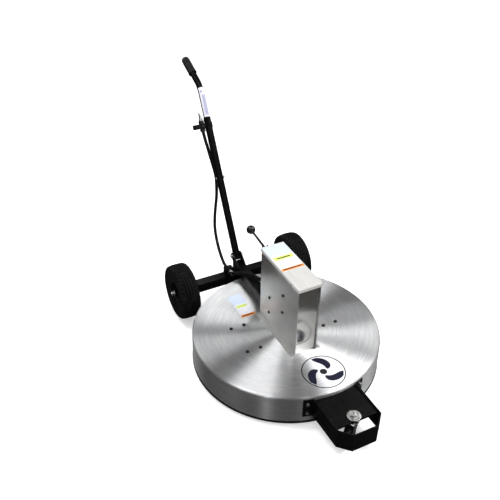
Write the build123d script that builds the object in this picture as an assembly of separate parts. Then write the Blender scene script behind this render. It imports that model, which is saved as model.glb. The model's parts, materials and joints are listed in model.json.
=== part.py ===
from build123d import *

# Rotary surface cleaner: a 36 in aluminium deck with a pressure-washer rotor under it.
#
# The machine is drawn in millimetres, +Z up, with the floor at Z = 0 and the rotor axis on the
# Z axis. Its front (bumper and caster) faces -Y, the axle and the push handle are at +Y, the
# right wheel is at +X. The files are written with the origin in the middle of the footprint,
# which is the whole machine's bounding box on the floor.

import os
from math import asin, cos, degrees, radians, sin, sqrt

# ---- driving dimensions -----------------------------------------------------------------
# Running gear sets every height: the axle beam's top face is level with the deck's top face.
WHEEL_RADIUS = 146.0          # 4.10/3.50-5 pneumatic tyre
WHEEL_WIDTH = 100.0
WHEEL_X = 331.0
AXLE_Y = 520.0
SQUARE_TUBE = 50.8            # 2 in frame tube
TUBE_WALL = 3.2
AXLE_RADIUS = 8.0
BEAM_END_X = 266.0

DECK_RADIUS = 457.2           # 36 in deck
DECK_SHEET = 3.2
DECK_TOP_Z = WHEEL_RADIUS + SQUARE_TUBE / 2
SKIRT_HEIGHT = 156.0
DECK_CORNER = 10.0
SHAFT_HOLE_RADIUS = 24.0

CHANNEL_ROWS = {"front": -65.0, "rear": 111.0}
CHANNEL_BOLT_X = (174.0, 243.0)
CHANNEL_WIDTH = 50.0
CHANNEL_DEPTH = 25.0
CHANNEL_HALF_LENGTH = 290.0

HOUSING_HALF_WIDTH = 57.0
HOUSING_FRONT_Y = -187.0
HOUSING_REAR_Y = 164.0
HOUSING_HEIGHT = 391.0
SHEET = 2.5
FLANGE = 22.0
FRONT_RECESS = 8.0
LID_GAP = 1.5
LID_SKIRT = 16.0

BUMPER_HALF_WIDTH = 112.0
BUMPER_FRONT_Y = -694.0
BUMPER_FLAT_HALF = 62.0
BUMPER_CHAMFER = 52.0
BUMPER_BAR = 6.0
BUMPER_BOTTOM_Z = 58.0
BUMPER_TOP_Z = 158.0
BUMPER_TAB = 42.0

CASTER_Y = -598.0
CASTER_WHEEL_RADIUS = 50.0
CASTER_WHEEL_WIDTH = 30.0
CASTER_TRAIL = 34.0
SHELF_PLATE_Z = (142.0, 150.0)
SHELF_PLATE_FRONT_Y = -626.0
CASTER_REST_TURN = 117.0      # how far the fork stands from trailing straight back, degrees

HANDLE_PIVOT = (0.0, 551.0, 252.0)
HANDLE_LEAN = 28.5            # degrees back from upright
LOWER_TUBE_RADIUS = 19.0
UPPER_TUBE_RADIUS = 16.4
HANDLE_WALL = 2.5
LOWER_TUBE_END = 745.0
HANDLE_STRAIGHT = 866.0
HANDLE_BEND_RADIUS = 112.0
GRIP_RISE = 22.0              # degrees above level
GRIP_LENGTH = 115.0
GRIP_RADIUS = 21.0
HOSE_RADIUS = 8.5

RAIL_SPOTS = {"front": (-54.0, 335.0, 435.0), "rear": (72.0, 240.0, 331.0)}  # y, bolt heights
LEVER_PIVOT = (-22.0, 188.0, 532.0)
LEVER_REACH = 60.0            # pivot to the pin that carries the swivel carriage
LEVER_ROD_RADIUS = 6.0
KNOB_CENTRE = (-22.0, 345.0, 548.0)
KNOB_RADIUS = 22.5

ROTOR_ARM_Z = 75.0
ROTOR_ARM_RADIUS = 10.65
ROTOR_TIP_RADIUS = 405.0
SHAFT_RADIUS = 12.5
RUNNING_GAP = 0.05            # radial clearance of every turning or sliding fit

UPWARDS = (Align.CENTER, Align.CENTER, Align.MIN)     # a cylinder that stands on its plane


# ---- small builders shared by many pieces -----------------------------------------------
def block(x, y, z):
    """Box given by its (low, high) limits along each axis."""
    size = (x[1] - x[0], y[1] - y[0], z[1] - z[0])
    centre = ((x[0] + x[1]) / 2, (y[0] + y[1]) / 2, (z[0] + z[1]) / 2)
    return Pos(*centre) * Box(*size)


def rod(start, end, radius):
    """Round bar between two points."""
    start, end = Vector(*start), Vector(*end)
    along = end - start
    plane = Plane(origin=start, z_dir=along)
    return plane * Cylinder(radius, along.length, align=UPWARDS)


def ring(start, end, outer, inner):
    """Round tube between two points."""
    return rod(start, end, outer) - rod(start, end, inner)


def hex_bolt(seat, inward, radius, length):
    """Hexagon bolt: the head stands on `seat`, the shank runs `length` along `inward`."""
    plane = Plane(origin=seat, z_dir=Vector(*inward))
    head = extrude(RegularPolygon(1.6 * radius, 6, major_radius=False), -1.3 * radius)
    shank = Cylinder(radius, length, align=UPWARDS)
    return plane * (head + shank)


def hex_nut(seat, outward, half_width, height, bore=0.0):
    """Hexagon nut that stands on `seat`; a bore of 0 leaves it solid, to join it to its bolt."""
    profile = RegularPolygon(half_width, 6, major_radius=False)
    if bore:
        profile -= Circle(bore)
    return Plane(origin=seat, z_dir=outward) * extrude(profile, height)


def button_bolt(seat, inward, radius, length):
    """Dome-headed bolt: the head stands on `seat`, the shank runs `length` along `inward`."""
    plane = Plane(origin=seat, z_dir=Vector(*inward))
    head = Cylinder(1.8 * radius, radius, align=(Align.CENTER, Align.CENTER, Align.MAX))
    head = fillet(head.edges().filter_by(GeomType.CIRCLE).sort_by(Axis.Z)[0], 0.7 * radius)
    shank = Cylinder(radius, length, align=UPWARDS)
    return plane * (head + shank)


def hose(points, radius, start_tangent=None, end_tangent=None):
    """Solid hose along a smooth curve through the points."""
    tangents = [start_tangent, end_tangent] if start_tangent else None
    path = Spline(*points, tangents=tangents)
    section = Plane(origin=path @ 0, z_dir=path % 0) * Circle(radius)
    return sweep(section, path=path)


def group(pieces):
    """Separate solids kept together under one name."""
    return Compound(children=list(pieces))


# ---- deck -------------------------------------------------------------------------------
DECK_BOTTOM_Z = DECK_TOP_Z - SKIRT_HEIGHT
CHANNEL_BOLT_RADIUS = 5.0
CHANNEL_BOLT_SPOTS = [
    (side * x, y) for y in CHANNEL_ROWS.values() for x in CHANNEL_BOLT_X for side in (-1, 1)
]
FLANGE_BOLT_X = HOUSING_HALF_WIDTH + 0.55 * FLANGE
FLANGE_BOLT_Y = (-155.0, -10.0, 149.0)
FLANGE_BOLT_SPOTS = [(side * FLANGE_BOLT_X, y) for y in FLANGE_BOLT_Y for side in (-1, 1)]
FLANGE_BOLT_RADIUS = 3.0
TONGUE_BOLT_Y = (215.0, 320.0, 425.0)
TONGUE_BOLT_RADIUS = 5.0
BUMPER_BOLT_ANGLE = degrees(asin((BUMPER_HALF_WIDTH + 0.55 * BUMPER_TAB) / DECK_RADIUS))
BUMPER_BOLT_Z = (BUMPER_BOTTOM_Z + 22.0, BUMPER_TOP_Z - 22.0)
BUMPER_BOLT_RADIUS = 5.0


def skirt_point(angle, radius, z):
    """Point on the skirt, `angle` degrees to the right of straight ahead."""
    return (radius * sin(radians(angle)), -radius * cos(radians(angle)), z)


def bumper_bolt_holes():
    """The four radial holes that the bumper's bolts pass through."""
    holes = Part()
    for angle in (-BUMPER_BOLT_ANGLE, BUMPER_BOLT_ANGLE):
        for z in BUMPER_BOLT_Z:
            inside = skirt_point(angle, DECK_RADIUS - 10, z)
            outside = skirt_point(angle, DECK_RADIUS + 10, z)
            holes += rod(inside, outside, BUMPER_BOLT_RADIUS)
    return holes


def deck_solid(radius, height, corner):
    """Upright cylinder from the skirt's lower edge, its top corner rounded."""
    solid = Pos(0, 0, DECK_BOTTOM_Z) * Cylinder(radius, height, align=UPWARDS)
    return fillet(solid.edges().sort_by(Axis.Z)[-1], corner)


def deck_shell():
    outer = deck_solid(DECK_RADIUS, SKIRT_HEIGHT, DECK_CORNER)
    inner = deck_solid(DECK_RADIUS - DECK_SHEET, SKIRT_HEIGHT - DECK_SHEET, DECK_CORNER - DECK_SHEET)
    shell = outer - inner
    top, under = DECK_TOP_Z + 1, DECK_TOP_Z - DECK_SHEET - 1
    shell -= rod((0, 0, under), (0, 0, top), SHAFT_HOLE_RADIUS)
    holes = [(x, y, CHANNEL_BOLT_RADIUS) for x, y in CHANNEL_BOLT_SPOTS]
    holes += [(x, y, FLANGE_BOLT_RADIUS) for x, y in FLANGE_BOLT_SPOTS]
    holes += [(0, y, TONGUE_BOLT_RADIUS) for y in TONGUE_BOLT_Y]
    for x, y, radius in holes:
        shell -= rod((x, y, under), (x, y, top), radius)
    return shell - bumper_bolt_holes()


def deck_edge_trim():
    """Rubber U-strip pushed over the bottom rim of the skirt."""
    lip, grip = 2.5, 10.0
    low, high = DECK_BOTTOM_Z - lip, DECK_BOTTOM_Z + grip
    strip = ring((0, 0, low), (0, 0, high), DECK_RADIUS + lip, DECK_RADIUS - DECK_SHEET - lip)
    rim = ring((0, 0, DECK_BOTTOM_Z), (0, 0, high), DECK_RADIUS, DECK_RADIUS - DECK_SHEET)
    return strip - rim


def cross_channel(row):
    """Folded steel channel that stiffens the deck from below, open side down."""
    y = CHANNEL_ROWS[row]
    top = DECK_TOP_Z - DECK_SHEET
    half = CHANNEL_WIDTH / 2
    wall = 3.0
    reach = (-CHANNEL_HALF_LENGTH, CHANNEL_HALF_LENGTH)
    channel = block(reach, (y - half, y + half), (top - CHANNEL_DEPTH, top))
    channel -= block(reach, (y - half + wall, y + half - wall), (top - CHANNEL_DEPTH, top - wall))
    for x in CHANNEL_BOLT_X:
        for side in (-1, 1):
            channel -= rod((side * x, y, top - wall), (side * x, y, top), CHANNEL_BOLT_RADIUS)
    return channel


def cross_channel_bolts():
    length = 16.0
    return group(
        button_bolt((x, y, DECK_TOP_Z), (0, 0, -1), CHANNEL_BOLT_RADIUS, length)
        for x, y in CHANNEL_BOLT_SPOTS
    )


# ---- swivel housing ---------------------------------------------------------------------
HOUSING_TOP_Z = DECK_TOP_Z + HOUSING_HEIGHT
WALL_TOP_Z = HOUSING_TOP_Z - SHEET
WALL_INNER_X = HOUSING_HALF_WIDTH - SHEET
FRONT_COVER_Y = HOUSING_FRONT_Y + FRONT_RECESS
COVER_FLANGE = 18.0           # depth of the covers' folded edges, which lie against the walls
LID_SCREW_Y = (-125.0, 100.0)
LID_SCREW_Z = HOUSING_TOP_Z - 0.55 * LID_SKIRT
LID_SCREW_RADIUS = 2.5
INLET = (38.0, HOUSING_REAR_Y, 252.0)
INLET_RADIUS = 9.0
RAIL_BOLT_RADIUS = 4.0
RAIL_BOLT_SPOTS = [(y, z) for y, *heights in RAIL_SPOTS.values() for z in heights]
LEVER_SLOT_HALF = 17.0
LEVER_BAR = 8.0


def housing_side(side):
    """One wall of the housing with its foot flange; side is -1 for left, +1 for right."""
    wall_x = sorted((side * WALL_INNER_X, side * HOUSING_HALF_WIDTH))
    foot_x = sorted((side * WALL_INNER_X, side * (HOUSING_HALF_WIDTH + FLANGE)))
    depth = (HOUSING_FRONT_Y, HOUSING_REAR_Y)
    wall = block(wall_x, depth, (DECK_TOP_Z, WALL_TOP_Z))
    foot = block(foot_x, depth, (DECK_TOP_Z, DECK_TOP_Z + SHEET))
    panel = wall + foot
    for x, y in FLANGE_BOLT_SPOTS:
        if x * side > 0:
            panel -= rod((x, y, DECK_TOP_Z), (x, y, DECK_TOP_Z + SHEET), FLANGE_BOLT_RADIUS)
    for y in LID_SCREW_Y:
        panel -= rod((wall_x[0], y, LID_SCREW_Z), (wall_x[1], y, LID_SCREW_Z), LID_SCREW_RADIUS)
    if side < 0:
        for y, z in RAIL_BOLT_SPOTS:
            panel -= rod((wall_x[0], y, z), (wall_x[1], y, z), RAIL_BOLT_RADIUS)
    return panel


def housing_cover(plate_y, flange_y):
    """Pan-shaped end cover that fits between the side walls."""
    half = WALL_INNER_X
    height = (DECK_TOP_Z, WALL_TOP_Z)
    cover = block((-half, half), sorted(plate_y), height)
    for side in (-1, 1):
        cover += block(sorted((side * half, side * (half - SHEET))), sorted(flange_y), height)
    return cover


def housing_front_cover():
    plate = (FRONT_COVER_Y, FRONT_COVER_Y + SHEET)
    return housing_cover(plate, (FRONT_COVER_Y, FRONT_COVER_Y + COVER_FLANGE))


def housing_rear_cover():
    inside = HOUSING_REAR_Y - SHEET
    cover = housing_cover((inside, HOUSING_REAR_Y), (HOUSING_REAR_Y - COVER_FLANGE, HOUSING_REAR_Y))
    cover -= rod((INLET[0], inside, INLET[2]), INLET, INLET_RADIUS)
    return cover - lever_slot(inside, HOUSING_REAR_Y)


def lever_slot(y_low, y_high):
    """Tall slot that the lift lever's bar swings in."""
    x, _, z = LEVER_PIVOT
    half = LEVER_BAR / 2 + 1.0
    return block((x - half, x + half), (y_low, y_high), (z - LEVER_SLOT_HALF, z + LEVER_SLOT_HALF))


def housing_lid():
    """Box-shaped lid that hangs over the tops of the walls."""
    x = HOUSING_HALF_WIDTH + LID_GAP
    y = (HOUSING_FRONT_Y - LID_GAP, HOUSING_REAR_Y + LID_GAP)
    z = (HOUSING_TOP_Z - LID_SKIRT, HOUSING_TOP_Z)
    lid = block((-x - SHEET, x + SHEET), (y[0] - SHEET, y[1] + SHEET), z)
    lid -= block((-x, x), y, (z[0], WALL_TOP_Z))
    outside = x + SHEET
    for spot in LID_SCREW_Y:
        lid -= rod((-outside, spot, LID_SCREW_Z), (-x, spot, LID_SCREW_Z), LID_SCREW_RADIUS)
        lid -= rod((x, spot, LID_SCREW_Z), (outside, spot, LID_SCREW_Z), LID_SCREW_RADIUS)
    return lid


def housing_lid_screws():
    x = HOUSING_HALF_WIDTH + LID_GAP + SHEET
    return group(
        button_bolt((side * x, y, LID_SCREW_Z), (-side, 0, 0), LID_SCREW_RADIUS, LID_GAP + 2 * SHEET)
        for side in (-1, 1)
        for y in LID_SCREW_Y
    )


def housing_flange_bolts():
    z, length = DECK_TOP_Z + SHEET, 14.0
    return group(
        hex_bolt((x, y, z), (0, 0, -1), FLANGE_BOLT_RADIUS, length) for x, y in FLANGE_BOLT_SPOTS
    )


# ---- lift lever -------------------------------------------------------------------------
LEVER_BRACKET_HALF = 15.0
LEVER_BRACKET_WALL = 4.0
LEVER_BRACKET_Z = (478.0, 546.0)
LEVER_PIVOT_RADIUS = 5.0
LEVER_PIN_RADIUS = 5.0
PIN_Y = LEVER_PIVOT[1] - LEVER_REACH
CARRIAGE_X = (-35.0, -27.0)


def lever_bracket():
    """U-bracket on the rear cover that holds the lever's pivot bolt."""
    x, y, z = LEVER_PIVOT
    base = (HOUSING_REAR_Y, HOUSING_REAR_Y + LEVER_BRACKET_WALL)
    outer = (x - LEVER_BRACKET_HALF, x + LEVER_BRACKET_HALF)
    bracket = block(outer, base, LEVER_BRACKET_Z)
    cheek_y = (HOUSING_REAR_Y, y + 14.0)
    bracket += block((outer[0], outer[0] + LEVER_BRACKET_WALL), cheek_y, LEVER_BRACKET_Z)
    bracket += block((outer[1] - LEVER_BRACKET_WALL, outer[1]), cheek_y, LEVER_BRACKET_Z)
    bracket -= lever_slot(*base)
    return bracket - rod((outer[0], y, z), (outer[1], y, z), LEVER_PIVOT_RADIUS)


def lever_pivot_bolt():
    x, y, z = LEVER_PIVOT
    seat = (x - LEVER_BRACKET_HALF, y, z)
    length = 2 * LEVER_BRACKET_HALF
    bolt = hex_bolt(seat, (1, 0, 0), LEVER_PIVOT_RADIUS, length)
    nut = hex_nut((x + LEVER_BRACKET_HALF, y, z), (1, 0, 0), 8.0, 7.0)
    return group([bolt, nut])


def lever_arm():
    """Flat bar that turns on the pivot bolt; its pin lifts the swivel carriage."""
    x, y, z = LEVER_PIVOT
    half, depth = LEVER_BAR / 2, 10.0
    hub_half, hub_radius = half + 5.0, 12.0
    bar = block((x - half, x + half), (PIN_Y, y), (z - depth, z + depth))
    bar += rod((x - half, PIN_Y, z), (x + half, PIN_Y, z), depth)
    bar += rod((x - hub_half, y, z), (x + hub_half, y, z), hub_radius)
    bar += rod((x - half, PIN_Y, z), (CARRIAGE_X[0] - 2.0, PIN_Y, z), LEVER_PIN_RADIUS)
    bar -= rod((x - hub_half, y, z), (x + hub_half, y, z), LEVER_PIVOT_RADIUS + RUNNING_GAP)
    return bar - rod(LEVER_PIVOT, KNOB_CENTRE, LEVER_ROD_RADIUS)


def lever_rod():
    """Round steel rod, screwed into the arm's hub at one end and the ball knob at the other."""
    pivot = Vector(*LEVER_PIVOT)
    along = (Vector(*KNOB_CENTRE) - pivot).normalized()
    clear_of_bolt = LEVER_PIVOT_RADIUS + 2.0
    return rod(pivot + along * clear_of_bolt, KNOB_CENTRE, LEVER_ROD_RADIUS)


def lever_knob():
    centre, collar_radius, collar_length = Vector(*KNOB_CENTRE), 8.0, 5.0
    towards_arm = (Vector(*LEVER_PIVOT) - centre).normalized()
    collar_end = centre + towards_arm * (KNOB_RADIUS + collar_length)
    knob = Pos(*KNOB_CENTRE) * Sphere(KNOB_RADIUS)
    knob += rod(centre, collar_end, collar_radius)
    return knob - rod(centre, collar_end, LEVER_ROD_RADIUS)


# ---- swivel carriage --------------------------------------------------------------------
RAIL_STEM_HALF = 6.0
RAIL_HEAD_HALF = 12.0
RAIL_STEM_X = (-WALL_INNER_X, -49.0)
RAIL_HEAD_X = (-49.0, -39.0)
RAIL_END = 18.0               # rail beyond its outer bolts
RAIL_BOLT_END_X = RAIL_HEAD_X[1] - 3.0
SHOE_WALL = 6.0
SHOE_HALF_HEIGHT = 20.0
SHELF_Z = (222.0, 232.0)
SWIVEL_RADIUS = 31.0
SWIVEL_TOP_Z = 315.0
SWIVEL_ROOF = 8.0             # solid top of the swivel body, above the shaft's bore
ELBOW_Z = SWIVEL_TOP_Z + 18.0
ELBOW_REACH = 28.0
INLET_THREAD = 16.0           # inside end of the bulkhead fitting


def guide_rail(place):
    """T-section rail that stands on the left wall."""
    y, low, high = RAIL_SPOTS[place]
    z = (low - RAIL_END, high + RAIL_END)
    rail = block(RAIL_STEM_X, (y - RAIL_STEM_HALF, y + RAIL_STEM_HALF), z)
    rail += block(RAIL_HEAD_X, (y - RAIL_HEAD_HALF, y + RAIL_HEAD_HALF), z)
    for spot in (low, high):
        rail -= rod((RAIL_STEM_X[0], y, spot), (RAIL_BOLT_END_X, y, spot), RAIL_BOLT_RADIUS)
    return rail


def guide_rail_bolts():
    seat_x = -HOUSING_HALF_WIDTH
    length = RAIL_BOLT_END_X - seat_x
    return group(
        hex_bolt((seat_x, y, z), (1, 0, 0), RAIL_BOLT_RADIUS, length) for y, z in RAIL_BOLT_SPOTS
    )


def rail_shoe(place):
    """C-shaped slide shoe around one rail's head."""
    y, low, high = RAIL_SPOTS[place]
    middle = (low + high) / 2
    z = (middle - SHOE_HALF_HEIGHT, middle + SHOE_HALF_HEIGHT)
    gap = 2 * RUNNING_GAP
    lip = RAIL_STEM_X[1] - 4.0
    head_x = (RAIL_HEAD_X[0] - gap, RAIL_HEAD_X[1] + gap)
    outer, head, stem = (
        (y - half, y + half)
        for half in (RAIL_HEAD_HALF + SHOE_WALL, RAIL_HEAD_HALF + gap, RAIL_STEM_HALF + gap)
    )
    shoe = block((lip, CARRIAGE_X[0]), outer, z)
    shoe -= block(head_x, head, z)
    return shoe - block((lip, RAIL_HEAD_X[0]), stem, z)


def swivel_carriage():
    """Slide plate with two shoes, a shelf for the swivel and a slotted lug for the lever pin."""
    shoe_half = RAIL_HEAD_HALF + SHOE_WALL
    front_y, rear_y = RAIL_SPOTS["front"][0] - shoe_half, RAIL_SPOTS["rear"][0] + shoe_half
    shelf_front_y, lug_half, lug_height = -42.0, 16.0, 14.0
    z = LEVER_PIVOT[2]
    outline = [
        (shelf_front_y, SHELF_Z[0]),
        (rear_y, SHELF_Z[0]),
        (rear_y, 430.0),
        (PIN_Y + lug_half, z - lug_height),
        (PIN_Y + lug_half, z + lug_height),
        (PIN_Y - lug_half, z + lug_height),
        (rear_y - 40.0, 450.0),
        (front_y, 450.0),
        (front_y, 350.0),
        (shelf_front_y, 300.0),
    ]
    face = Plane(origin=(CARRIAGE_X[0], 0, 0), x_dir=(0, 1, 0), z_dir=(1, 0, 0)) * make_face(
        Polyline(*outline, close=True)
    )
    carriage = extrude(face, CARRIAGE_X[1] - CARRIAGE_X[0])
    slot_half, slot_reach = LEVER_PIN_RADIUS + 0.15, LEVER_PIN_RADIUS + 2.0
    slot_y = (PIN_Y - slot_reach, PIN_Y + slot_reach)
    carriage -= block(CARRIAGE_X, slot_y, (z - slot_half, z + slot_half))
    carriage += rail_shoe("front") + rail_shoe("rear")
    carriage += block((CARRIAGE_X[1], SWIVEL_RADIUS), (-38.0, 38.0), SHELF_Z)
    return carriage - rod((0, 0, SHELF_Z[0]), (0, 0, SHELF_Z[1]), SHAFT_RADIUS + 3.0)


def swivel_body():
    """Brass body of the rotary swivel, standing on the carriage's shelf."""
    low = SHELF_Z[1]
    flange_top = low + 8.0
    body = rod((0, 0, low), (0, 0, flange_top), SWIVEL_RADIUS - 5.0)
    body += rod((0, 0, flange_top), (0, 0, SWIVEL_TOP_Z), SWIVEL_RADIUS - 9.0)
    return body - rod((0, 0, low), (0, 0, SWIVEL_TOP_Z - SWIVEL_ROOF), SHAFT_RADIUS + RUNNING_GAP)


def swivel_inlet_elbow():
    """Elbow screwed on top of the swivel, its outlet facing the rear cover."""
    radius, outlet_radius = 11.0, 9.5
    elbow = rod((0, 0, SWIVEL_TOP_Z), (0, 0, ELBOW_Z), radius)
    elbow += Pos(0, 0, ELBOW_Z) * Sphere(radius)
    return elbow + rod((0, 0, ELBOW_Z), (0, ELBOW_REACH, ELBOW_Z), outlet_radius)


def whip_hose():
    """Short flexible hose inside the housing, from the rear bulkhead to the swivel."""
    elbow = (0, ELBOW_REACH, ELBOW_Z)
    bulkhead = (INLET[0], HOUSING_REAR_Y - SHEET - INLET_THREAD, INLET[2])
    middle = tuple((elbow[i] + bulkhead[i]) / 2 for i in range(3))
    return hose([elbow, middle, bulkhead], HOSE_RADIUS, (0, 1, 0), (0, 1, 0))


# ---- rotor ------------------------------------------------------------------------------
HUB_HALF = (30.0, 22.0, 18.0)
ARM_WALL = 2.8
NOZZLE_BLOCK = 13.0           # half the size of the cube that holds each nozzle
NOZZLE_RADIUS = 6.5
NOZZLE_TIP_Z = 38.0


def swivel_shaft():
    top = SWIVEL_TOP_Z - SWIVEL_ROOF - 2.0
    return rod((0, 0, ROTOR_ARM_Z + HUB_HALF[2]), (0, 0, top), SHAFT_RADIUS)


def rotor_hub():
    x, y, z = HUB_HALF
    hub = block((-x, x), (-y, y), (ROTOR_ARM_Z - z, ROTOR_ARM_Z + z))
    return fillet(hub.edges().filter_by(Axis.Z), 8.0)


def spray_arm(side):
    """Stainless pipe with a welded nozzle block at its tip."""
    half, centre = NOZZLE_BLOCK, side * ROTOR_TIP_RADIUS
    start = (side * HUB_HALF[0], 0, ROTOR_ARM_Z)
    tip = (centre - side * half, 0, ROTOR_ARM_Z)
    arm = ring(start, tip, ROTOR_ARM_RADIUS, ROTOR_ARM_RADIUS - ARM_WALL)
    holder = Pos(centre, 0, ROTOR_ARM_Z) * Box(2 * half, 2 * half, 2 * half)
    bore = rod((centre, 0, ROTOR_ARM_Z - half), (centre, 0, ROTOR_ARM_Z), NOZZLE_RADIUS)
    return arm + holder - bore


def spray_nozzles():
    return group(
        rod((x, 0, NOZZLE_TIP_Z), (x, 0, ROTOR_ARM_Z), NOZZLE_RADIUS)
        for x in (-ROTOR_TIP_RADIUS, ROTOR_TIP_RADIUS)
    )


# ---- frame ------------------------------------------------------------------------------
TONGUE_Z = (DECK_TOP_Z, DECK_TOP_Z + SQUARE_TUBE)
BEAM_HALF = SQUARE_TUBE / 2


def tongue():
    """Square tube that lies on the deck and on the axle beam."""
    y = (HOUSING_REAR_Y + LEVER_BRACKET_WALL, AXLE_Y + BEAM_HALF)
    inner = BEAM_HALF - TUBE_WALL
    floor, roof = TONGUE_Z[0] + TUBE_WALL, TONGUE_Z[1] - TUBE_WALL
    tube = block((-BEAM_HALF, BEAM_HALF), y, TONGUE_Z)
    tube -= block((-inner, inner), (y[0], y[1] - TUBE_WALL), (floor, roof))
    for spot in TONGUE_BOLT_Y:
        tube -= rod((0, spot, TONGUE_Z[0]), (0, spot, floor), TONGUE_BOLT_RADIUS)
    return tube


def tongue_bolts():
    """Bolts from under the deck into the tongue's floor."""
    z, length = DECK_TOP_Z - DECK_SHEET, 16.0
    return group(hex_bolt((0, y, z), (0, 0, 1), TONGUE_BOLT_RADIUS, length) for y in TONGUE_BOLT_Y)


def axle_beam():
    """Square cross tube with solid end plugs that carry the axle."""
    plug, bore = 30.0, SQUARE_TUBE - 2 * TUBE_WALL
    beam = Box(2 * BEAM_END_X, SQUARE_TUBE, SQUARE_TUBE)
    beam -= Box(2 * (BEAM_END_X - plug), bore, bore)
    beam -= rod((-BEAM_END_X, 0, 0), (BEAM_END_X, 0, 0), AXLE_RADIUS)
    return Pos(0, AXLE_Y, WHEEL_RADIUS) * beam


AXLE_END_X = WHEEL_X + 62.0
HUB_END_X = WHEEL_X + 46.0


def axle():
    return rod((-AXLE_END_X, AXLE_Y, WHEEL_RADIUS), (AXLE_END_X, AXLE_Y, WHEEL_RADIUS), AXLE_RADIUS)


def wheel_nuts():
    """Axle nut with a washer on each end of the axle, 1 mm clear of the hub."""
    nuts = []
    for side in (-1, 1):
        seat = side * (HUB_END_X + 1.0)
        face = seat + side * 2.0
        washer = ring((seat, AXLE_Y, WHEEL_RADIUS), (face, AXLE_Y, WHEEL_RADIUS), 15.0, AXLE_RADIUS)
        nut = hex_nut((face, AXLE_Y, WHEEL_RADIUS), (side, 0, 0), 12.0, 10.0, bore=AXLE_RADIUS)
        nuts.append(washer + nut)
    return group(nuts)


PLATE_X = (19.4, 25.4)
PLATE_TOP_RADIUS = 19.0
PLATE_FRONT_Y = 484.0
PIVOT_BOLT_RADIUS = 6.0


def handle_plate(side):
    """Upright ear welded to the tongue; the handle pivots between the two."""
    x = sorted((side * PLATE_X[0], side * PLATE_X[1]))
    _, y, z = HANDLE_PIVOT
    foot = TONGUE_Z[1]
    plane = Plane(origin=(x[0], 0, 0), x_dir=(0, 1, 0), z_dir=(1, 0, 0))
    outline = Polyline(
        (PLATE_FRONT_Y, foot),
        (AXLE_Y + BEAM_HALF, foot),
        (y + PLATE_TOP_RADIUS, z),
        (y, z + PLATE_TOP_RADIUS),
        (y - PLATE_TOP_RADIUS, z + 0.6 * PLATE_TOP_RADIUS),
        close=True,
    )
    plate = extrude(plane * make_face(outline), PLATE_X[1] - PLATE_X[0])
    plate += rod((x[0], y, z), (x[1], y, z), PLATE_TOP_RADIUS)
    return plate - rod((x[0], y, z), (x[1], y, z), PIVOT_BOLT_RADIUS)


def handle_pivot_bolt():
    _, y, z = HANDLE_PIVOT
    bolt = hex_bolt((-PLATE_X[1], y, z), (1, 0, 0), PIVOT_BOLT_RADIUS, 2 * PLATE_X[1] + 10.0)
    nut = hex_nut((PLATE_X[1], y, z), (1, 0, 0), 9.5, 8.0, bore=PIVOT_BOLT_RADIUS)
    return group([bolt, nut])


# ---- front bumper and caster ------------------------------------------------------------
STEM_RADIUS = 8.0
KINGPIN_RADIUS = 6.0
RACE_RADIUS = 29.0
RACE_Z = (SHELF_PLATE_Z[0] - 6.0, SHELF_PLATE_Z[0])
FORK_GAP = 1.0                # between the race and the fork crown


def bumper_arm_start():
    """Where the arm's outer face leaves the skirt."""
    return -sqrt(DECK_RADIUS**2 - BUMPER_HALF_WIDTH**2)


def bumper_loop():
    """Flat bar bent into a loop, with a shelf welded inside it for the caster."""
    height = BUMPER_TOP_Z - BUMPER_BOTTOM_Z
    arm_end = BUMPER_FRONT_Y + BUMPER_CHAMFER
    start = bumper_arm_start()
    path = [
        (-BUMPER_HALF_WIDTH, start - 1.0),
        (-BUMPER_HALF_WIDTH, arm_end),
        (-BUMPER_FLAT_HALF, BUMPER_FRONT_Y),
        (BUMPER_FLAT_HALF, BUMPER_FRONT_Y),
        (BUMPER_HALF_WIDTH, arm_end),
        (BUMPER_HALF_WIDTH, start - 1.0),
    ]
    outer = make_face(Polyline(*path, close=True))
    inner = offset(outer, -BUMPER_BAR, kind=Kind.INTERSECTION)
    mouth = Pos(0, start) * Rectangle(2 * (BUMPER_HALF_WIDTH - BUMPER_BAR), 60.0)
    loop = extrude(outer - inner - mouth, height)
    loop = Pos(0, 0, BUMPER_BOTTOM_Z) * loop
    for side in (-1, 1):
        loop += bumper_tab(side)
    inside = BUMPER_HALF_WIDTH - BUMPER_BAR
    loop += block((-inside, inside), (SHELF_PLATE_FRONT_Y, start), SHELF_PLATE_Z)
    loop -= rod((0, CASTER_Y, SHELF_PLATE_Z[0]), (0, CASTER_Y, SHELF_PLATE_Z[1]), STEM_RADIUS)
    loop -= Pos(0, 0, DECK_BOTTOM_Z) * Cylinder(DECK_RADIUS, SKIRT_HEIGHT, align=UPWARDS)
    return loop - bumper_bolt_holes()


def bumper_tab(side):
    """Curved end of the bar that lies against the skirt."""
    arc = ring((0, 0, BUMPER_BOTTOM_Z), (0, 0, BUMPER_TOP_Z), DECK_RADIUS + BUMPER_BAR, DECK_RADIUS)
    x = sorted((side * (BUMPER_HALF_WIDTH - BUMPER_BAR), side * (BUMPER_HALF_WIDTH + BUMPER_TAB)))
    return arc & block(x, (-DECK_RADIUS - 20.0, 0.0), (BUMPER_BOTTOM_Z, BUMPER_TOP_Z))


def bumper_bolts():
    bolts = []
    for side in (-1, 1):
        for z in BUMPER_BOLT_Z:
            angle = side * BUMPER_BOLT_ANGLE
            seat = skirt_point(angle, DECK_RADIUS + BUMPER_BAR + 0.3, z)
            inward = Vector(0, 0, z) - Vector(*seat)
            bolts.append(hex_bolt(seat, inward, BUMPER_BOLT_RADIUS, 24.0))
    return group(bolts)


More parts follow.
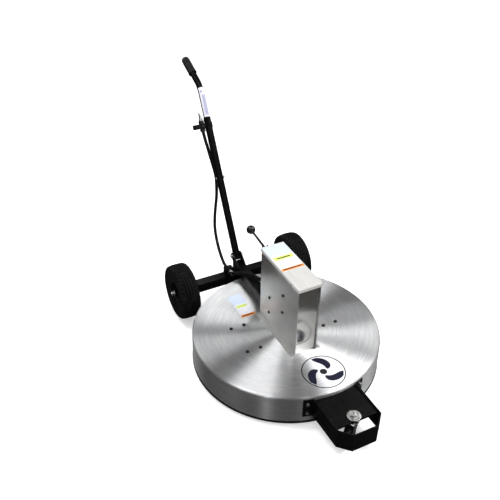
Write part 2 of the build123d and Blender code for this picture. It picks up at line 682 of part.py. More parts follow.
def caster_stem():
    """The caster's fixed part: a threaded stem, the upper race and the pin the fork turns on."""
    stem = rod((0, CASTER_Y, RACE_Z[1]), (0, CASTER_Y, SHELF_PLATE_Z[1] + 20.0), STEM_RADIUS)
    stem += rod((0, CASTER_Y, RACE_Z[0]), (0, CASTER_Y, RACE_Z[1]), RACE_RADIUS)
    return stem + rod((0, CASTER_Y, RACE_Z[0] - 15.0), (0, CASTER_Y, RACE_Z[0]), KINGPIN_RADIUS)


def caster_nut():
    """Wide washer and hexagon nut on top of the shelf."""
    seat = SHELF_PLATE_Z[1]
    face = seat + 3.0
    washer = ring((0, CASTER_Y, seat), (0, CASTER_Y, face), 31.0, STEM_RADIUS)
    return washer + hex_nut((0, CASTER_Y, face), (0, 0, 1), 12.0, 13.0, bore=STEM_RADIUS)


CASTER_TURN = Pos(0, CASTER_Y, 0) * Rot(0, 0, CASTER_REST_TURN)
WHEEL_BOLT_SPOT = (CASTER_TRAIL, CASTER_WHEEL_RADIUS)     # y and z, before the turn
FORK_INNER = 18.0
FORK_SHEET = 3.0
FORK_END = FORK_INNER + FORK_SHEET
FORK_TOP_Y = (-20.0, 24.0)    # front and rear of the legs' upper ends
CROWN_RADIUS = 27.0
CROWN_HEIGHT = 10.0
CASTER_BOLT_RADIUS = 5.0


def caster_fork():
    """Pressed fork: a round crown under the race and two legs raked back to the wheel bolt."""
    top = RACE_Z[0] - FORK_GAP
    low, bend = top - CROWN_HEIGHT, top - CROWN_HEIGHT + FORK_SHEET
    boss = 12.0
    fork = rod((0, 0, low), (0, 0, top), CROWN_RADIUS)
    fork += block((-FORK_END, FORK_END), FORK_TOP_Y, (low, bend))
    outline = Polyline(
        (FORK_TOP_Y[0], bend),
        (FORK_TOP_Y[1], bend),
        (CASTER_TRAIL + boss, CASTER_WHEEL_RADIUS),
        (CASTER_TRAIL - boss, CASTER_WHEEL_RADIUS),
        close=True,
    )
    for x in (-FORK_END, FORK_INNER):
        plane = Plane(origin=(x, 0, 0), x_dir=(0, 1, 0), z_dir=(1, 0, 0))
        fork += extrude(plane * make_face(outline), FORK_SHEET)
        fork += rod((x, *WHEEL_BOLT_SPOT), (x + FORK_SHEET, *WHEEL_BOLT_SPOT), boss)
    fork -= rod((-FORK_END, *WHEEL_BOLT_SPOT), (FORK_END, *WHEEL_BOLT_SPOT), CASTER_BOLT_RADIUS)
    fork -= rod((0, 0, low), (0, 0, top), KINGPIN_RADIUS + RUNNING_GAP)
    return CASTER_TURN * fork


def caster_wheel():
    """Moulded wheel with a dished web and a hub that stands slightly proud."""
    half, dish, hub_proud = CASTER_WHEEL_WIDTH / 2, 5.0, 2.0
    wheel = rod((-half, *WHEEL_BOLT_SPOT), (half, *WHEEL_BOLT_SPOT), CASTER_WHEEL_RADIUS)
    wheel = fillet(wheel.edges().filter_by(GeomType.CIRCLE), 6.0)
    for side in (-1, 1):
        face = side * half
        wheel -= ring((face - side * dish, *WHEEL_BOLT_SPOT), (face, *WHEEL_BOLT_SPOT), 34.0, 14.0)
        wheel += rod((face, *WHEEL_BOLT_SPOT), (face + side * hub_proud, *WHEEL_BOLT_SPOT), 10.0)
    end = half + hub_proud
    wheel -= rod((-end, *WHEEL_BOLT_SPOT), (end, *WHEEL_BOLT_SPOT), CASTER_BOLT_RADIUS + RUNNING_GAP)
    return CASTER_TURN * wheel


def caster_axle_bolt():
    bolt = hex_bolt((FORK_END, *WHEEL_BOLT_SPOT), (-1, 0, 0), CASTER_BOLT_RADIUS, 2 * FORK_END)
    nut = hex_nut((-FORK_END, *WHEEL_BOLT_SPOT), (-1, 0, 0), 8.0, 7.0)
    return CASTER_TURN * (bolt + nut)


# ---- rear wheels ------------------------------------------------------------------------
RIM_RADIUS = 64.0
TYRE_SHOULDER = 26.0
WHEEL_HUB_RADIUS = 20.0


def tyre(side):
    """Round-shouldered tyre, hollow where it seats on the rim."""
    half = WHEEL_WIDTH / 2
    centre = (AXLE_Y, WHEEL_RADIUS)
    body = rod((-half, *centre), (half, *centre), WHEEL_RADIUS)
    body = fillet(body.edges().filter_by(GeomType.CIRCLE), TYRE_SHOULDER)
    body -= rod((-half, *centre), (half, *centre), RIM_RADIUS)
    return Pos(side * WHEEL_X, 0, 0) * body


def rim(side):
    """Two-piece pressed rim with its hub, modelled as one welded part."""
    centre = (AXLE_Y, WHEEL_RADIUS)
    seat_half, disc_half, hub_half = 38.0, 4.0, HUB_END_X - WHEEL_X
    wall = 4.0
    wheel = ring((-seat_half, *centre), (seat_half, *centre), RIM_RADIUS, RIM_RADIUS - wall)
    wheel += rod((-disc_half, *centre), (disc_half, *centre), RIM_RADIUS - wall / 2)
    wheel += rod((-hub_half, *centre), (hub_half, *centre), WHEEL_HUB_RADIUS)
    wheel -= rod((-hub_half, *centre), (hub_half, *centre), AXLE_RADIUS + RUNNING_GAP)
    return Pos(side * WHEEL_X, 0, 0) * wheel


# ---- push handle ------------------------------------------------------------------------
HANDLE = Plane(
    origin=HANDLE_PIVOT, x_dir=(1, 0, 0), z_dir=(0, sin(radians(HANDLE_LEAN)), cos(radians(HANDLE_LEAN)))
)
JOINT_BOLT_AT = 425.0
BEND_ANGLE = 90.0 - HANDLE_LEAN - GRIP_RISE
GRIP_START = 58.0             # straight tube between the bend and the grip
GRIP_END_WALL = 10.0
JOINT_BOLT_RADIUS = 4.0
VALVE_X = -36.5
VALVE_AT = 676.0              # foot of the valve, measured along the handle from the pivot
VALVE_LENGTH = 56.0
VALVE_MIDDLE = VALVE_AT + VALVE_LENGTH / 2
VALVE_RADIUS = 14.0
VALVE_STEM_RADIUS = 5.0


def on_handle(x, y, along):
    """Point in the frame, from x, distance behind the tube and distance along the handle."""
    return HANDLE.from_local_coords((x, y, along))


def grip_line(beyond_bend):
    """Point on the straight end of the handle, in the handle's plane of symmetry."""
    turn = radians(BEND_ANGLE)
    back = HANDLE_BEND_RADIUS * (1 - cos(turn)) + beyond_bend * sin(turn)
    along = HANDLE_STRAIGHT + HANDLE_BEND_RADIUS * sin(turn) + beyond_bend * cos(turn)
    return (back, along)


def handle_lower_tube():
    """Tube from the pivot to the clamp end, with a bush across it for the pivot bolt."""
    foot, sleeve_half, sleeve_radius = -22.0, PLATE_X[0] - 0.2, 12.0
    across = LOWER_TUBE_RADIUS + 1.0
    wall_inner = LOWER_TUBE_RADIUS - HANDLE_WALL
    tube = ring((0, 0, foot), (0, 0, LOWER_TUBE_END), LOWER_TUBE_RADIUS, wall_inner)
    tube += rod((-sleeve_half, 0, 0), (sleeve_half, 0, 0), sleeve_radius)
    tube -= rod((-across, 0, 0), (across, 0, 0), PIVOT_BOLT_RADIUS + RUNNING_GAP)
    tube -= rod((-across, 0, JOINT_BOLT_AT), (across, 0, JOINT_BOLT_AT), JOINT_BOLT_RADIUS)
    return HANDLE * tube


def handle_upper_tube():
    """Tube that slides into the lower one: straight, bent back, then straight into the grip."""
    first, last = JOINT_BOLT_AT - 40.0, grip_line(GRIP_START + GRIP_LENGTH - GRIP_END_WALL)
    side_view = Plane(origin=HANDLE_PIVOT, x_dir=HANDLE.y_dir, z_dir=(1, 0, 0))
    straight = Line((0, first), (0, HANDLE_STRAIGHT))
    bend = JernArc((0, HANDLE_STRAIGHT), (0, 1), HANDLE_BEND_RADIUS, -BEND_ANGLE)
    path = side_view * (straight + bend + Line(grip_line(0.0), last))
    section = Plane(origin=path @ 0, z_dir=path % 0)
    tube = sweep(section * Circle(UPPER_TUBE_RADIUS), path=path)
    tube -= sweep(section * Circle(UPPER_TUBE_RADIUS - HANDLE_WALL), path=path)
    across = UPPER_TUBE_RADIUS + 1.0
    return tube - HANDLE * rod((-across, 0, JOINT_BOLT_AT), (across, 0, JOINT_BOLT_AT), JOINT_BOLT_RADIUS)


def handle_grip():
    """Rubber sleeve with a closed, rounded end."""
    start = on_handle(0, *grip_line(GRIP_START))
    end = on_handle(0, *grip_line(GRIP_START + GRIP_LENGTH))
    tube_end = on_handle(0, *grip_line(GRIP_START + GRIP_LENGTH - GRIP_END_WALL))
    grip = rod(start, end, GRIP_RADIUS)
    grip = fillet(grip.edges().filter_by(GeomType.CIRCLE).sort_by(Axis.Y)[-1], GRIP_RADIUS / 2)
    return grip - rod(start, tube_end, UPPER_TUBE_RADIUS)


def handle_joint_bolt():
    edge = LOWER_TUBE_RADIUS
    bolt = hex_bolt((-edge, 0, JOINT_BOLT_AT), (1, 0, 0), JOINT_BOLT_RADIUS, 2 * edge + 8.0)
    return HANDLE * (bolt + hex_nut((edge, 0, JOINT_BOLT_AT), (1, 0, 0), 6.5, 6.5))


def valve_bracket():
    """Bent strap between the handle tube and the ball valve."""
    low, high = VALVE_MIDDLE - 14.0, VALVE_MIDDLE + 14.0
    strap = rod((0, 0, low), (0, 0, high), LOWER_TUBE_RADIUS + 3.0)
    strap += block((VALVE_X, 0), (-4.0, 4.0), (low, high))
    strap -= rod((0, 0, low), (0, 0, high), LOWER_TUBE_RADIUS)
    return HANDLE * (strap - rod((VALVE_X, 0, low), (VALVE_X, 0, high), VALVE_RADIUS))


def valve_stem(front, back, radius):
    """Round bar on the stem's axis, between two distances in front of the tube's centre."""
    return rod((VALVE_X, -back, VALVE_MIDDLE), (VALVE_X, -front, VALVE_MIDDLE), radius)


def ball_valve():
    """Valve body: a barrel along the handle with a stem that faces forward."""
    body = rod((VALVE_X, 0, VALVE_AT), (VALVE_X, 0, VALVE_AT + VALVE_LENGTH), VALVE_RADIUS)
    return HANDLE * (body + valve_stem(0.0, VALVE_RADIUS + 9.0, VALVE_STEM_RADIUS))


def valve_lever():
    """Flat lever on the valve's stem, its tip turned up."""
    reach, half_width, sheet, tip_height = 54.0, 12.5, 4.0, 16.0
    near, far = VALVE_RADIUS + 4.0, VALVE_RADIUS + 8.0
    tip_x = VALVE_X - reach
    width = (VALVE_MIDDLE - half_width, VALVE_MIDDLE + half_width)
    lever = valve_stem(near, far, half_width + 3.0)
    lever += block((tip_x, VALVE_X), (-far, -near), width)
    lever += block((tip_x - sheet, tip_x), (-far - tip_height, -near), width)
    return HANDLE * (lever - valve_stem(near, far, VALVE_STEM_RADIUS + RUNNING_GAP))


PLUG_RADIUS = 6.0
PLUG_LENGTH = 22.0
PLUG_COLLAR_RADIUS = 8.5
PLUG_COLLAR_LENGTH = 10.0
PLUG_HEX = 10.0               # half the width across flats, and the height, of its hexagon


def inlet_plug():
    """Quick-connect plug for the supply hose, screwed into the valve's upper end."""
    foot = VALVE_AT + VALVE_LENGTH
    collar = foot + PLUG_HEX
    top = collar + PLUG_COLLAR_LENGTH
    plug = hex_nut((VALVE_X, 0, foot), (0, 0, 1), PLUG_HEX, PLUG_HEX)
    plug += rod((VALVE_X, 0, collar), (VALVE_X, 0, top), PLUG_COLLAR_RADIUS)
    return HANDLE * (plug + rod((VALVE_X, 0, top), (VALVE_X, 0, top + PLUG_LENGTH), PLUG_RADIUS))


# ---- supply line on the frame -----------------------------------------------------------
HOSE_BLOCK_X = (-88.0, -42.0)
HOSE_BLOCK_Y = (AXLE_Y - 20.0, AXLE_Y + 14.0)
HOSE_BLOCK_Z = (DECK_TOP_Z, DECK_TOP_Z + 44.0)
HOSE_PORT_X = (HOSE_BLOCK_X[0] + HOSE_BLOCK_X[1]) / 2
HOSE_PORT_Z = HOSE_BLOCK_Z[0] + 28.0
INLET_HOSE_Y = HOUSING_REAR_Y + 22.0      # where the frame hose meets the bulkhead fitting


def hose_block():
    """Steel junction block on the axle beam where the handle hose meets the frame hose."""
    return fillet(block(HOSE_BLOCK_X, HOSE_BLOCK_Y, HOSE_BLOCK_Z).edges().filter_by(Axis.Z), 4.0)


def handle_hose():
    """Hose from the ball valve down the handle, then in a slack bow to the junction block."""
    points = [
        on_handle(VALVE_X, 0, VALVE_AT),
        on_handle(-27.0, 14.0, VALVE_AT - 60.0),
        on_handle(-19.0, 23.0, VALVE_AT - 130.0),
        on_handle(-12.5, 27.0, JOINT_BOLT_AT + 65.0),
        on_handle(-8.0, 30.0, JOINT_BOLT_AT + 20.0),
        (-8.0, 775.0, 550.0),
        (-18.0, 768.0, 461.0),
        (-34.0, 755.0, 386.0),
        (-50.0, 712.0, 300.0),
        (-56.0, 625.0, 238.0),
        (HOSE_PORT_X, HOSE_BLOCK_Y[1], HOSE_PORT_Z),
    ]
    return hose(points, HOSE_RADIUS, -HANDLE.z_dir, (0, -1, 0))


def frame_hose():
    """Hose from the junction block over the tongue and along it to the housing."""
    points = [
        (HOSE_PORT_X, HOSE_BLOCK_Y[0], HOSE_PORT_Z),
        (-58.0, 455.0, 214.0),
        (-28.0, 414.0, 236.0),
        (8.0, 362.0, 240.0),
        (30.0, 290.0, 242.0),
        (INLET[0] - 1.0, 220.0, INLET[2] - 3.0),
        (INLET[0], INLET_HOSE_Y, INLET[2]),
    ]
    return hose(points, HOSE_RADIUS) - hose_block() - housing_inlet_fitting()


def housing_inlet_fitting():
    """Bulkhead fitting through the rear cover."""
    x, y, z = INLET
    fitting = rod((x, y - SHEET - INLET_THREAD, z), (x, INLET_HOSE_Y, z), INLET_RADIUS)
    return fitting + hex_nut(INLET, (0, 1, 0), 13.0, 8.0)


# ---- every node and its file ------------------------------------------------------------
PARTS = {
    "deck_shell": deck_shell(),
    "deck_edge_trim": deck_edge_trim(),
    "cross_channel_front": cross_channel("front"),
    "cross_channel_rear": cross_channel("rear"),
    "cross_channel_bolts": cross_channel_bolts(),
    "housing_side_left": housing_side(-1),
    "housing_side_right": housing_side(1),
    "housing_front_cover": housing_front_cover(),
    "housing_rear_cover": housing_rear_cover(),
    "housing_lid": housing_lid(),
    "housing_lid_screws": housing_lid_screws(),
    "housing_flange_bolts": housing_flange_bolts(),
    "lever_bracket": lever_bracket(),
    "lever_pivot_bolt": lever_pivot_bolt(),
    "lever_arm": lever_arm(),
    "lever_rod": lever_rod(),
    "lever_knob": lever_knob(),
    "guide_rail_front": guide_rail("front"),
    "guide_rail_rear": guide_rail("rear"),
    "guide_rail_bolts": guide_rail_bolts(),
    "swivel_carriage": swivel_carriage(),
    "swivel_body": swivel_body(),
    "swivel_inlet_elbow": swivel_inlet_elbow(),
    "whip_hose": whip_hose(),
    "swivel_shaft": swivel_shaft(),
    "rotor_hub": rotor_hub(),
    "spray_arm_left": spray_arm(-1),
    "spray_arm_right": spray_arm(1),
    "spray_nozzles": spray_nozzles(),
    "tongue": tongue(),
    "tongue_bolts": tongue_bolts(),
    "axle_beam": axle_beam(),
    "axle": axle(),
    "wheel_nuts": wheel_nuts(),
    "tyre_left": tyre(-1),
    "tyre_right": tyre(1),
    "rim_left": rim(-1),
    "rim_right": rim(1),
    "handle_plate_left": handle_plate(-1),
    "handle_plate_right": handle_plate(1),
    "handle_pivot_bolt": handle_pivot_bolt(),
    "bumper_loop": bumper_loop(),
    "bumper_bolts": bumper_bolts(),
    "caster_stem": caster_stem(),
    "caster_nut": caster_nut(),
    "caster_fork": caster_fork(),
    "caster_wheel": caster_wheel(),
    "caster_axle_bolt": caster_axle_bolt(),
    "handle_lower_tube": handle_lower_tube(),
    "handle_upper_tube": handle_upper_tube(),
    "handle_grip": handle_grip(),
    "handle_joint_bolt": handle_joint_bolt(),
    "valve_bracket": valve_bracket(),
    "ball_valve": ball_valve(),
    "valve_lever": valve_lever(),
    "inlet_plug": inlet_plug(),
    "hose_block": hose_block(),
    "handle_hose": handle_hose(),
    "frame_hose": frame_hose(),
    "housing_inlet_fitting": housing_inlet_fitting(),
}

rear_y = PARTS["handle_grip"].bounding_box().max.Y
footprint_middle = Pos(0, (BUMPER_FRONT_Y + rear_y) / 2, 0)

os.makedirs("parts", exist_ok=True)
for name, shape in PARTS.items():
    export_step(footprint_middle.inverse() * shape, f"parts/{name}.step")
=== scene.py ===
import json
import math

import bmesh
import bpy
from mathutils import Matrix, Vector


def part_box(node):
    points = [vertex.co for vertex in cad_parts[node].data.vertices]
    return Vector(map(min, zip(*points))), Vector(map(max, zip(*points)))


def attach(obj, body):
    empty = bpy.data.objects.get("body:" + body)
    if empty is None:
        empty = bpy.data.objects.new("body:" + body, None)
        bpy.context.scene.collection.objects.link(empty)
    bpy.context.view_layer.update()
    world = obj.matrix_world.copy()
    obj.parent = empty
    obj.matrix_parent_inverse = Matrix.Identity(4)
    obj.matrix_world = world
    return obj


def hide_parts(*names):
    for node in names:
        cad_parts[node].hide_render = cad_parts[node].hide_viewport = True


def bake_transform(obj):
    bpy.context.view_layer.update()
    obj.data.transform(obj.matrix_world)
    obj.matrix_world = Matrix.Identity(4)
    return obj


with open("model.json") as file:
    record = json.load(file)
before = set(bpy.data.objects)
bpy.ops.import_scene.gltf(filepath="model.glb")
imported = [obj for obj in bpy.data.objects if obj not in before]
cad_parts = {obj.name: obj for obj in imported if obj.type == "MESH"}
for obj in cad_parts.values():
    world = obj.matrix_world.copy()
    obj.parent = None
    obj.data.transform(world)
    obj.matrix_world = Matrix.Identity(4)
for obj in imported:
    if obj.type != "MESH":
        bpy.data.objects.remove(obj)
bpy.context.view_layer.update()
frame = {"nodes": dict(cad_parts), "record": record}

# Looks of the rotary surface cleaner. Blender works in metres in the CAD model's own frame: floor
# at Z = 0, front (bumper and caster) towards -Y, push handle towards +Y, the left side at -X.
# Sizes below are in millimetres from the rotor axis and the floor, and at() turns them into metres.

MM = 0.001

# ---- camera and light -------------------------------------------------------------------
CAMERA_PLACE = (-1337.0, -2192.0, 2466.0)
CAMERA_AZIMUTH = -27.55       # degrees; 0 looks along +Y
CAMERA_PITCH = 35.5           # degrees below the horizon
CAMERA_ROLL = 0.955
CAMERA_LENS = 50.4
CAMERA_SHIFT = (-0.0042, -0.0008)

STUDIO_RADIUS = 3.2           # metres from the deck's centre to each lamp
FLOOR_HALF = 30.0             # metres

# ---- sizes that the looks share ---------------------------------------------------------
DECK_LOW, DECK_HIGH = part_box("deck_shell")
ROTOR_Y = (DECK_LOW.y + DECK_HIGH.y) / 2
DECK_TOP = DECK_HIGH.z / MM
LID_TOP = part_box("housing_lid")[1].z / MM
WHEEL_X = 331.0
AXLE_Y = 520.0
WHEEL_RADIUS = 146.0
HUB_END = 46.0                # half length of a wheel hub
DECK_BOLT_X = (-243.0, -174.0, 174.0, 243.0)
DECK_BOLT_Y = (-65.0, 111.0)
HANDLE_PIVOT = (0.0, 551.0, 252.0)
HANDLE_LEAN = math.radians(28.5)
HANDLE_STRAIGHT = 866.0       # from the pivot to the start of the bend
HANDLE_BEND_RADIUS = 112.0
GRIP_RISE = math.radians(22.0)        # of the handle's end above level
GRIP_START = 58.0             # from the end of the bend
GRIP_LENGTH = 115.0
GRIP_RADIUS = 21.0
UPPER_TUBE_RADIUS = 16.4
HOSE_RADIUS = 8.5
FILM = 0.3                    # height of a sticker above its surface


def at(x, y, z):
    """Point in metres in the model's frame, from millimetres from the rotor axis and the floor."""
    return Vector((x * MM, y * MM + ROTOR_Y, z * MM))


def on_handle(x, back, along):
    """Point beside the handle's straight tube: distance behind its axis, distance up from the pivot."""
    lean_sin, lean_cos = math.sin(HANDLE_LEAN), math.cos(HANDLE_LEAN)
    px, py, pz = HANDLE_PIVOT
    return at(px + x, py + back * lean_cos + along * lean_sin, pz - back * lean_sin + along * lean_cos)


def on_grip(beyond_bend):
    """Point on the axis of the straight end that carries the grip."""
    turn = math.pi / 2 - HANDLE_LEAN - GRIP_RISE
    back = HANDLE_BEND_RADIUS * (1 - math.cos(turn)) + beyond_bend * math.sin(turn)
    along = HANDLE_STRAIGHT + HANDLE_BEND_RADIUS * math.sin(turn) + beyond_bend * math.cos(turn)
    return on_handle(0.0, back, along)


# ---- node helpers -----------------------------------------------------------------------
def add_node(tree, kind, inputs=None, **settings):
    """New node; each input is a value or another node's output socket."""
    made = tree.nodes.new(kind)
    for key, value in settings.items():
        setattr(made, key, value)
    for key, value in (inputs or {}).items():
        if isinstance(value, bpy.types.NodeSocket):
            tree.links.new(value, made.inputs[key])
        else:
            made.inputs[key].default_value = value
    return made


def maths(tree, operation, a, b=0.0):
    return add_node(tree, "ShaderNodeMath", {0: a, 1: b}, operation=operation).outputs[0]


def ramp(tree, value, low, high, to_low=0.0, to_high=1.0):
    """Value mapped from low..high to to_low..to_high, clamped and smooth."""
    node = add_node(
        tree,
        "ShaderNodeMapRange",
        {"Value": value, "From Min": low, "From Max": high, "To Min": to_low, "To Max": to_high},
        interpolation_type="SMOOTHSTEP",
    )
    return node.outputs["Result"]


def mix_colour(tree, share, a, b):
    """Colour a where share is 0, colour b where it is 1."""
    return add_node(tree, "ShaderNodeMix", {0: share, 6: a, 7: b}, data_type="RGBA").outputs[2]


def grey(value, tint=(1.0, 1.0, 1.0)):
    return (value * tint[0], value * tint[1], value * tint[2], 1.0)


def noise(tree, vector, scale, detail=3.0, roughness=0.55):
    inputs = {"Vector": vector, "Scale": scale, "Detail": detail, "Roughness": roughness}
    return add_node(tree, "ShaderNodeTexNoise", inputs).outputs["Fac"]


def stretched(tree, vector, scale):
    return add_node(tree, "ShaderNodeVectorMath", {0: vector, 1: scale}, operation="MULTIPLY").outputs[0]


def bump(tree, height, strength, distance):
    inputs = {"Height": height, "Strength": strength, "Distance": distance}
    return add_node(tree, "ShaderNodeBump", inputs).outputs["Normal"]


def new_material(name, **sockets):
    """Principled material, its tree, its shader and the object's own coordinates."""
    material = bpy.data.materials.new(name)
    material.use_nodes = True
    tree = material.node_tree
    shader = tree.nodes["Principled BSDF"]
    for key, value in sockets.items():
        shader.inputs[key.replace("_", " ")].default_value = value
    place = add_node(tree, "ShaderNodeTexCoord").outputs["Object"]
    return material, tree, shader, place


def feed(tree, shader, **sockets):
    """Links outputs to the shader's inputs, which are named with _ for a space."""
    for key, value in sockets.items():
        tree.links.new(value, shader.inputs[key.replace("_", " ")])


# ---- materials --------------------------------------------------------------------------
ACROSS_GRAIN = 0.25           # anisotropic rotation that spreads light across the brush lines


def spun_aluminium():
    """Deck sheet, brushed in circles round the rotor axis: fine rings that make radial fans."""
    rings_per_metre, breaks_per_turn = 420.0, 5.0
    material, tree, shader, place = new_material("spun_aluminium", Metallic=1.0, Anisotropic=1.0)
    to_rotor = {0: place, 1: (0.0, ROTOR_Y, 0.0)}
    place = add_node(tree, "ShaderNodeVectorMath", to_rotor, operation="SUBTRACT").outputs[0]
    x, y, z = add_node(tree, "ShaderNodeSeparateXYZ", {0: place}).outputs
    squares = [maths(tree, "MULTIPLY", part, part) for part in (x, y)]
    radius = maths(tree, "SQRT", maths(tree, "ADD", *squares))
    ring = maths(tree, "SUBTRACT", radius, z)
    around = add_node(tree, "ShaderNodeVectorMath", {0: place}, operation="NORMALIZE").outputs[0]
    turn = add_node(tree, "ShaderNodeSeparateXYZ", {0: around}).outputs
    parts = {
        0: maths(tree, "MULTIPLY", ring, rings_per_metre),
        1: maths(tree, "MULTIPLY", turn[0], breaks_per_turn),
        2: maths(tree, "MULTIPLY", turn[1], breaks_per_turn),
    }
    brush = add_node(tree, "ShaderNodeCombineXYZ", parts).outputs[0]
    lines = noise(tree, brush, 1.0, detail=4.0, roughness=0.7)
    bands = noise(tree, stretched(tree, brush, (0.06, 0.5, 0.5)), 1.0, detail=2.0)
    clouds = noise(tree, place, 7.0, detail=3.0)
    shade = mix_colour(tree, ramp(tree, lines, 0.3, 0.7), grey(0.60, (0.985, 1.0, 1.02)), grey(0.86))
    shade = mix_colour(tree, ramp(tree, bands, 0.35, 0.65, 0.0, 0.35), shade,
                       grey(0.62, (0.98, 0.99, 1.03)))
    shade = mix_colour(tree, ramp(tree, clouds, 0.5, 0.75, 0.0, 0.3), shade,
                       grey(0.66, (1.0, 0.99, 1.03)))
    rough = maths(tree, "ADD", ramp(tree, lines, 0.25, 0.75, 0.36, 0.43),
                  ramp(tree, clouds, 0.4, 0.7, 0.0, 0.05))
    tangent = add_node(tree, "ShaderNodeTangent", direction_type="RADIAL", axis="Z").outputs[0]
    feed(tree, shader, Base_Color=shade, Roughness=rough, Tangent=tangent,
         Normal=bump(tree, lines, 0.08, 0.3 * MM))
    shader.inputs["Anisotropic Rotation"].default_value = ACROSS_GRAIN
    return material


def sheet_aluminium(name, grain, tint, base, rough, metal=1.0):
    """Mill-brushed flat sheet; grain is the brushing direction as a unit vector."""
    material, tree, shader, place = new_material(name, Metallic=metal, Anisotropic=0.5)
    fine, coarse = 650.0, 8.0     # noise scale across and along the brush lines
    across = tuple(fine - (fine - coarse) * abs(part) for part in grain)
    lines = noise(tree, stretched(tree, place, across), 1.0, detail=4.0, roughness=0.65)
    clouds = noise(tree, place, 16.0, detail=5.0, roughness=0.65)
    shade = mix_colour(tree, ramp(tree, lines, 0.3, 0.7),
                       grey(0.86 * base, tint), grey(1.05 * base, tint))
    shade = mix_colour(tree, ramp(tree, clouds, 0.42, 0.68, 0.0, 0.25), shade, grey(0.80 * base, tint))
    uneven = ramp(tree, clouds, 0.35, 0.7, rough - 0.02, rough + 0.04)
    uneven = maths(tree, "ADD", uneven, ramp(tree, lines, 0.3, 0.7, -0.02, 0.03))
    along = add_node(tree, "ShaderNodeCombineXYZ", dict(enumerate(grain))).outputs[0]
    feed(tree, shader, Base_Color=shade, Roughness=uneven, Tangent=along,
         Normal=bump(tree, lines, 0.06, 0.2 * MM))
    shader.inputs["Anisotropic Rotation"].default_value = ACROSS_GRAIN
    return material


def powder_coat():
    """Satin black powder coat with a fine orange-peel surface and slightly rubbed patches."""
    material, tree, shader, place = new_material("black_powder_coat", Specular_IOR_Level=0.10)
    peel = noise(tree, place, 900.0, detail=2.0)
    rubbed = noise(tree, place, 24.0, detail=6.0, roughness=0.7)
    dust = noise(tree, place, 70.0, detail=4.0, roughness=0.7)
    shade = mix_colour(tree, ramp(tree, rubbed, 0.52, 0.75), grey(0.0015), grey(0.004))
    shade = mix_colour(tree, ramp(tree, dust, 0.6, 0.8, 0.0, 0.2), shade, grey(0.03, (1.0, 0.98, 0.94)))
    feed(tree, shader, Base_Color=shade, Roughness=ramp(tree, rubbed, 0.35, 0.75, 0.30, 0.48),
         Normal=bump(tree, peel, 0.10, 0.5 * MM))
    return material


def hose_rubber():
    """Black hose cover with a fine cloth imprint."""
    material, tree, shader, place = new_material("hose_rubber", Specular_IOR_Level=0.10)
    weave = noise(tree, place, 1400.0, detail=1.0)
    stain = noise(tree, place, 40.0, detail=5.0)
    shade = mix_colour(tree, ramp(tree, stain, 0.45, 0.75), grey(0.004), grey(0.012, (1.0, 0.99, 0.97)))
    feed(tree, shader, Base_Color=shade, Roughness=ramp(tree, stain, 0.3, 0.7, 0.48, 0.66),
         Normal=bump(tree, weave, 0.35, 0.4 * MM))
    return material


def grip_rubber():
    """Soft black rubber, matt where hands don't polish it."""
    material, tree, shader, place = new_material("grip_rubber", Specular_IOR_Level=0.20)
    grain = noise(tree, place, 1800.0, detail=2.0)
    worn = noise(tree, place, 55.0, detail=4.0)
    shade = mix_colour(tree, ramp(tree, worn, 0.4, 0.75), grey(0.005), grey(0.012))
    feed(tree, shader, Base_Color=shade, Roughness=ramp(tree, worn, 0.3, 0.7, 0.42, 0.62),
         Normal=bump(tree, grain, 0.3, 0.3 * MM))
    return material


def tyre_rubber():
    """Tyre rubber: dull on the sidewall, dusty in the grooves of the tread."""
    material, tree, shader, place = new_material("tyre_rubber", Specular_IOR_Level=0.10)
    grain = noise(tree, place, 700.0, detail=3.0)
    dust = noise(tree, place, 30.0, detail=6.0, roughness=0.7)
    shade = mix_colour(tree, ramp(tree, dust, 0.42, 0.75), grey(0.0025), grey(0.009, (1.0, 0.98, 0.95)))
    feed(tree, shader, Base_Color=shade, Roughness=ramp(tree, dust, 0.3, 0.7, 0.55, 0.8),
         Normal=bump(tree, grain, 0.3, 0.5 * MM))
    return material


def zinc_plate():
    """Bright zinc-plated steel with faint bluish clouds."""
    material, tree, shader, place = new_material("zinc_plate", Metallic=1.0)
    clouds = noise(tree, place, 90.0, detail=4.0)
    scratches = noise(tree, stretched(tree, place, (500.0, 900.0, 260.0)), 1.0, detail=3.0)
    shade = mix_colour(tree, ramp(tree, clouds, 0.35, 0.7), grey(0.80), grey(0.62, (0.96, 1.0, 1.05)))
    rough = maths(tree, "ADD", ramp(tree, clouds, 0.3, 0.7, 0.20, 0.34),
                  ramp(tree, scratches, 0.5, 0.8, 0.0, 0.08))
    feed(tree, shader, Base_Color=shade, Roughness=rough, Normal=bump(tree, scratches, 0.12, 0.3 * MM))
    return material


def stainless():
    """Turned stainless steel with lines round the rotor's and the caster's parts."""
    material, tree, shader, place = new_material("stainless", Metallic=1.0)
    lines = noise(tree, stretched(tree, place, (30.0, 900.0, 900.0)), 1.0, detail=3.0)
    clouds = noise(tree, place, 45.0, detail=4.0)
    shade = mix_colour(tree, ramp(tree, lines, 0.3, 0.7),
                       grey(0.52, (1.0, 0.98, 0.95)), grey(0.68, (1.0, 0.99, 0.97)))
    feed(tree, shader, Base_Color=shade, Roughness=ramp(tree, clouds, 0.35, 0.7, 0.24, 0.40),
         Normal=bump(tree, lines, 0.1, 0.3 * MM))
    return material


def machined_brass():
    """Brass fittings with tool marks and slightly browned clouds."""
    material, tree, shader, place = new_material("machined_brass", Metallic=1.0)
    clouds = noise(tree, place, 80.0, detail=5.0)
    tool_marks = noise(tree, stretched(tree, place, (200.0, 1800.0, 1800.0)), 1.0, detail=2.0)
    shade = mix_colour(tree, ramp(tree, clouds, 0.35, 0.7),
                       (0.72, 0.50, 0.20, 1.0), (0.50, 0.33, 0.13, 1.0))
    feed(tree, shader, Base_Color=shade, Roughness=ramp(tree, clouds, 0.3, 0.7, 0.22, 0.42),
         Normal=bump(tree, tool_marks, 0.1, 0.2 * MM))
    return material


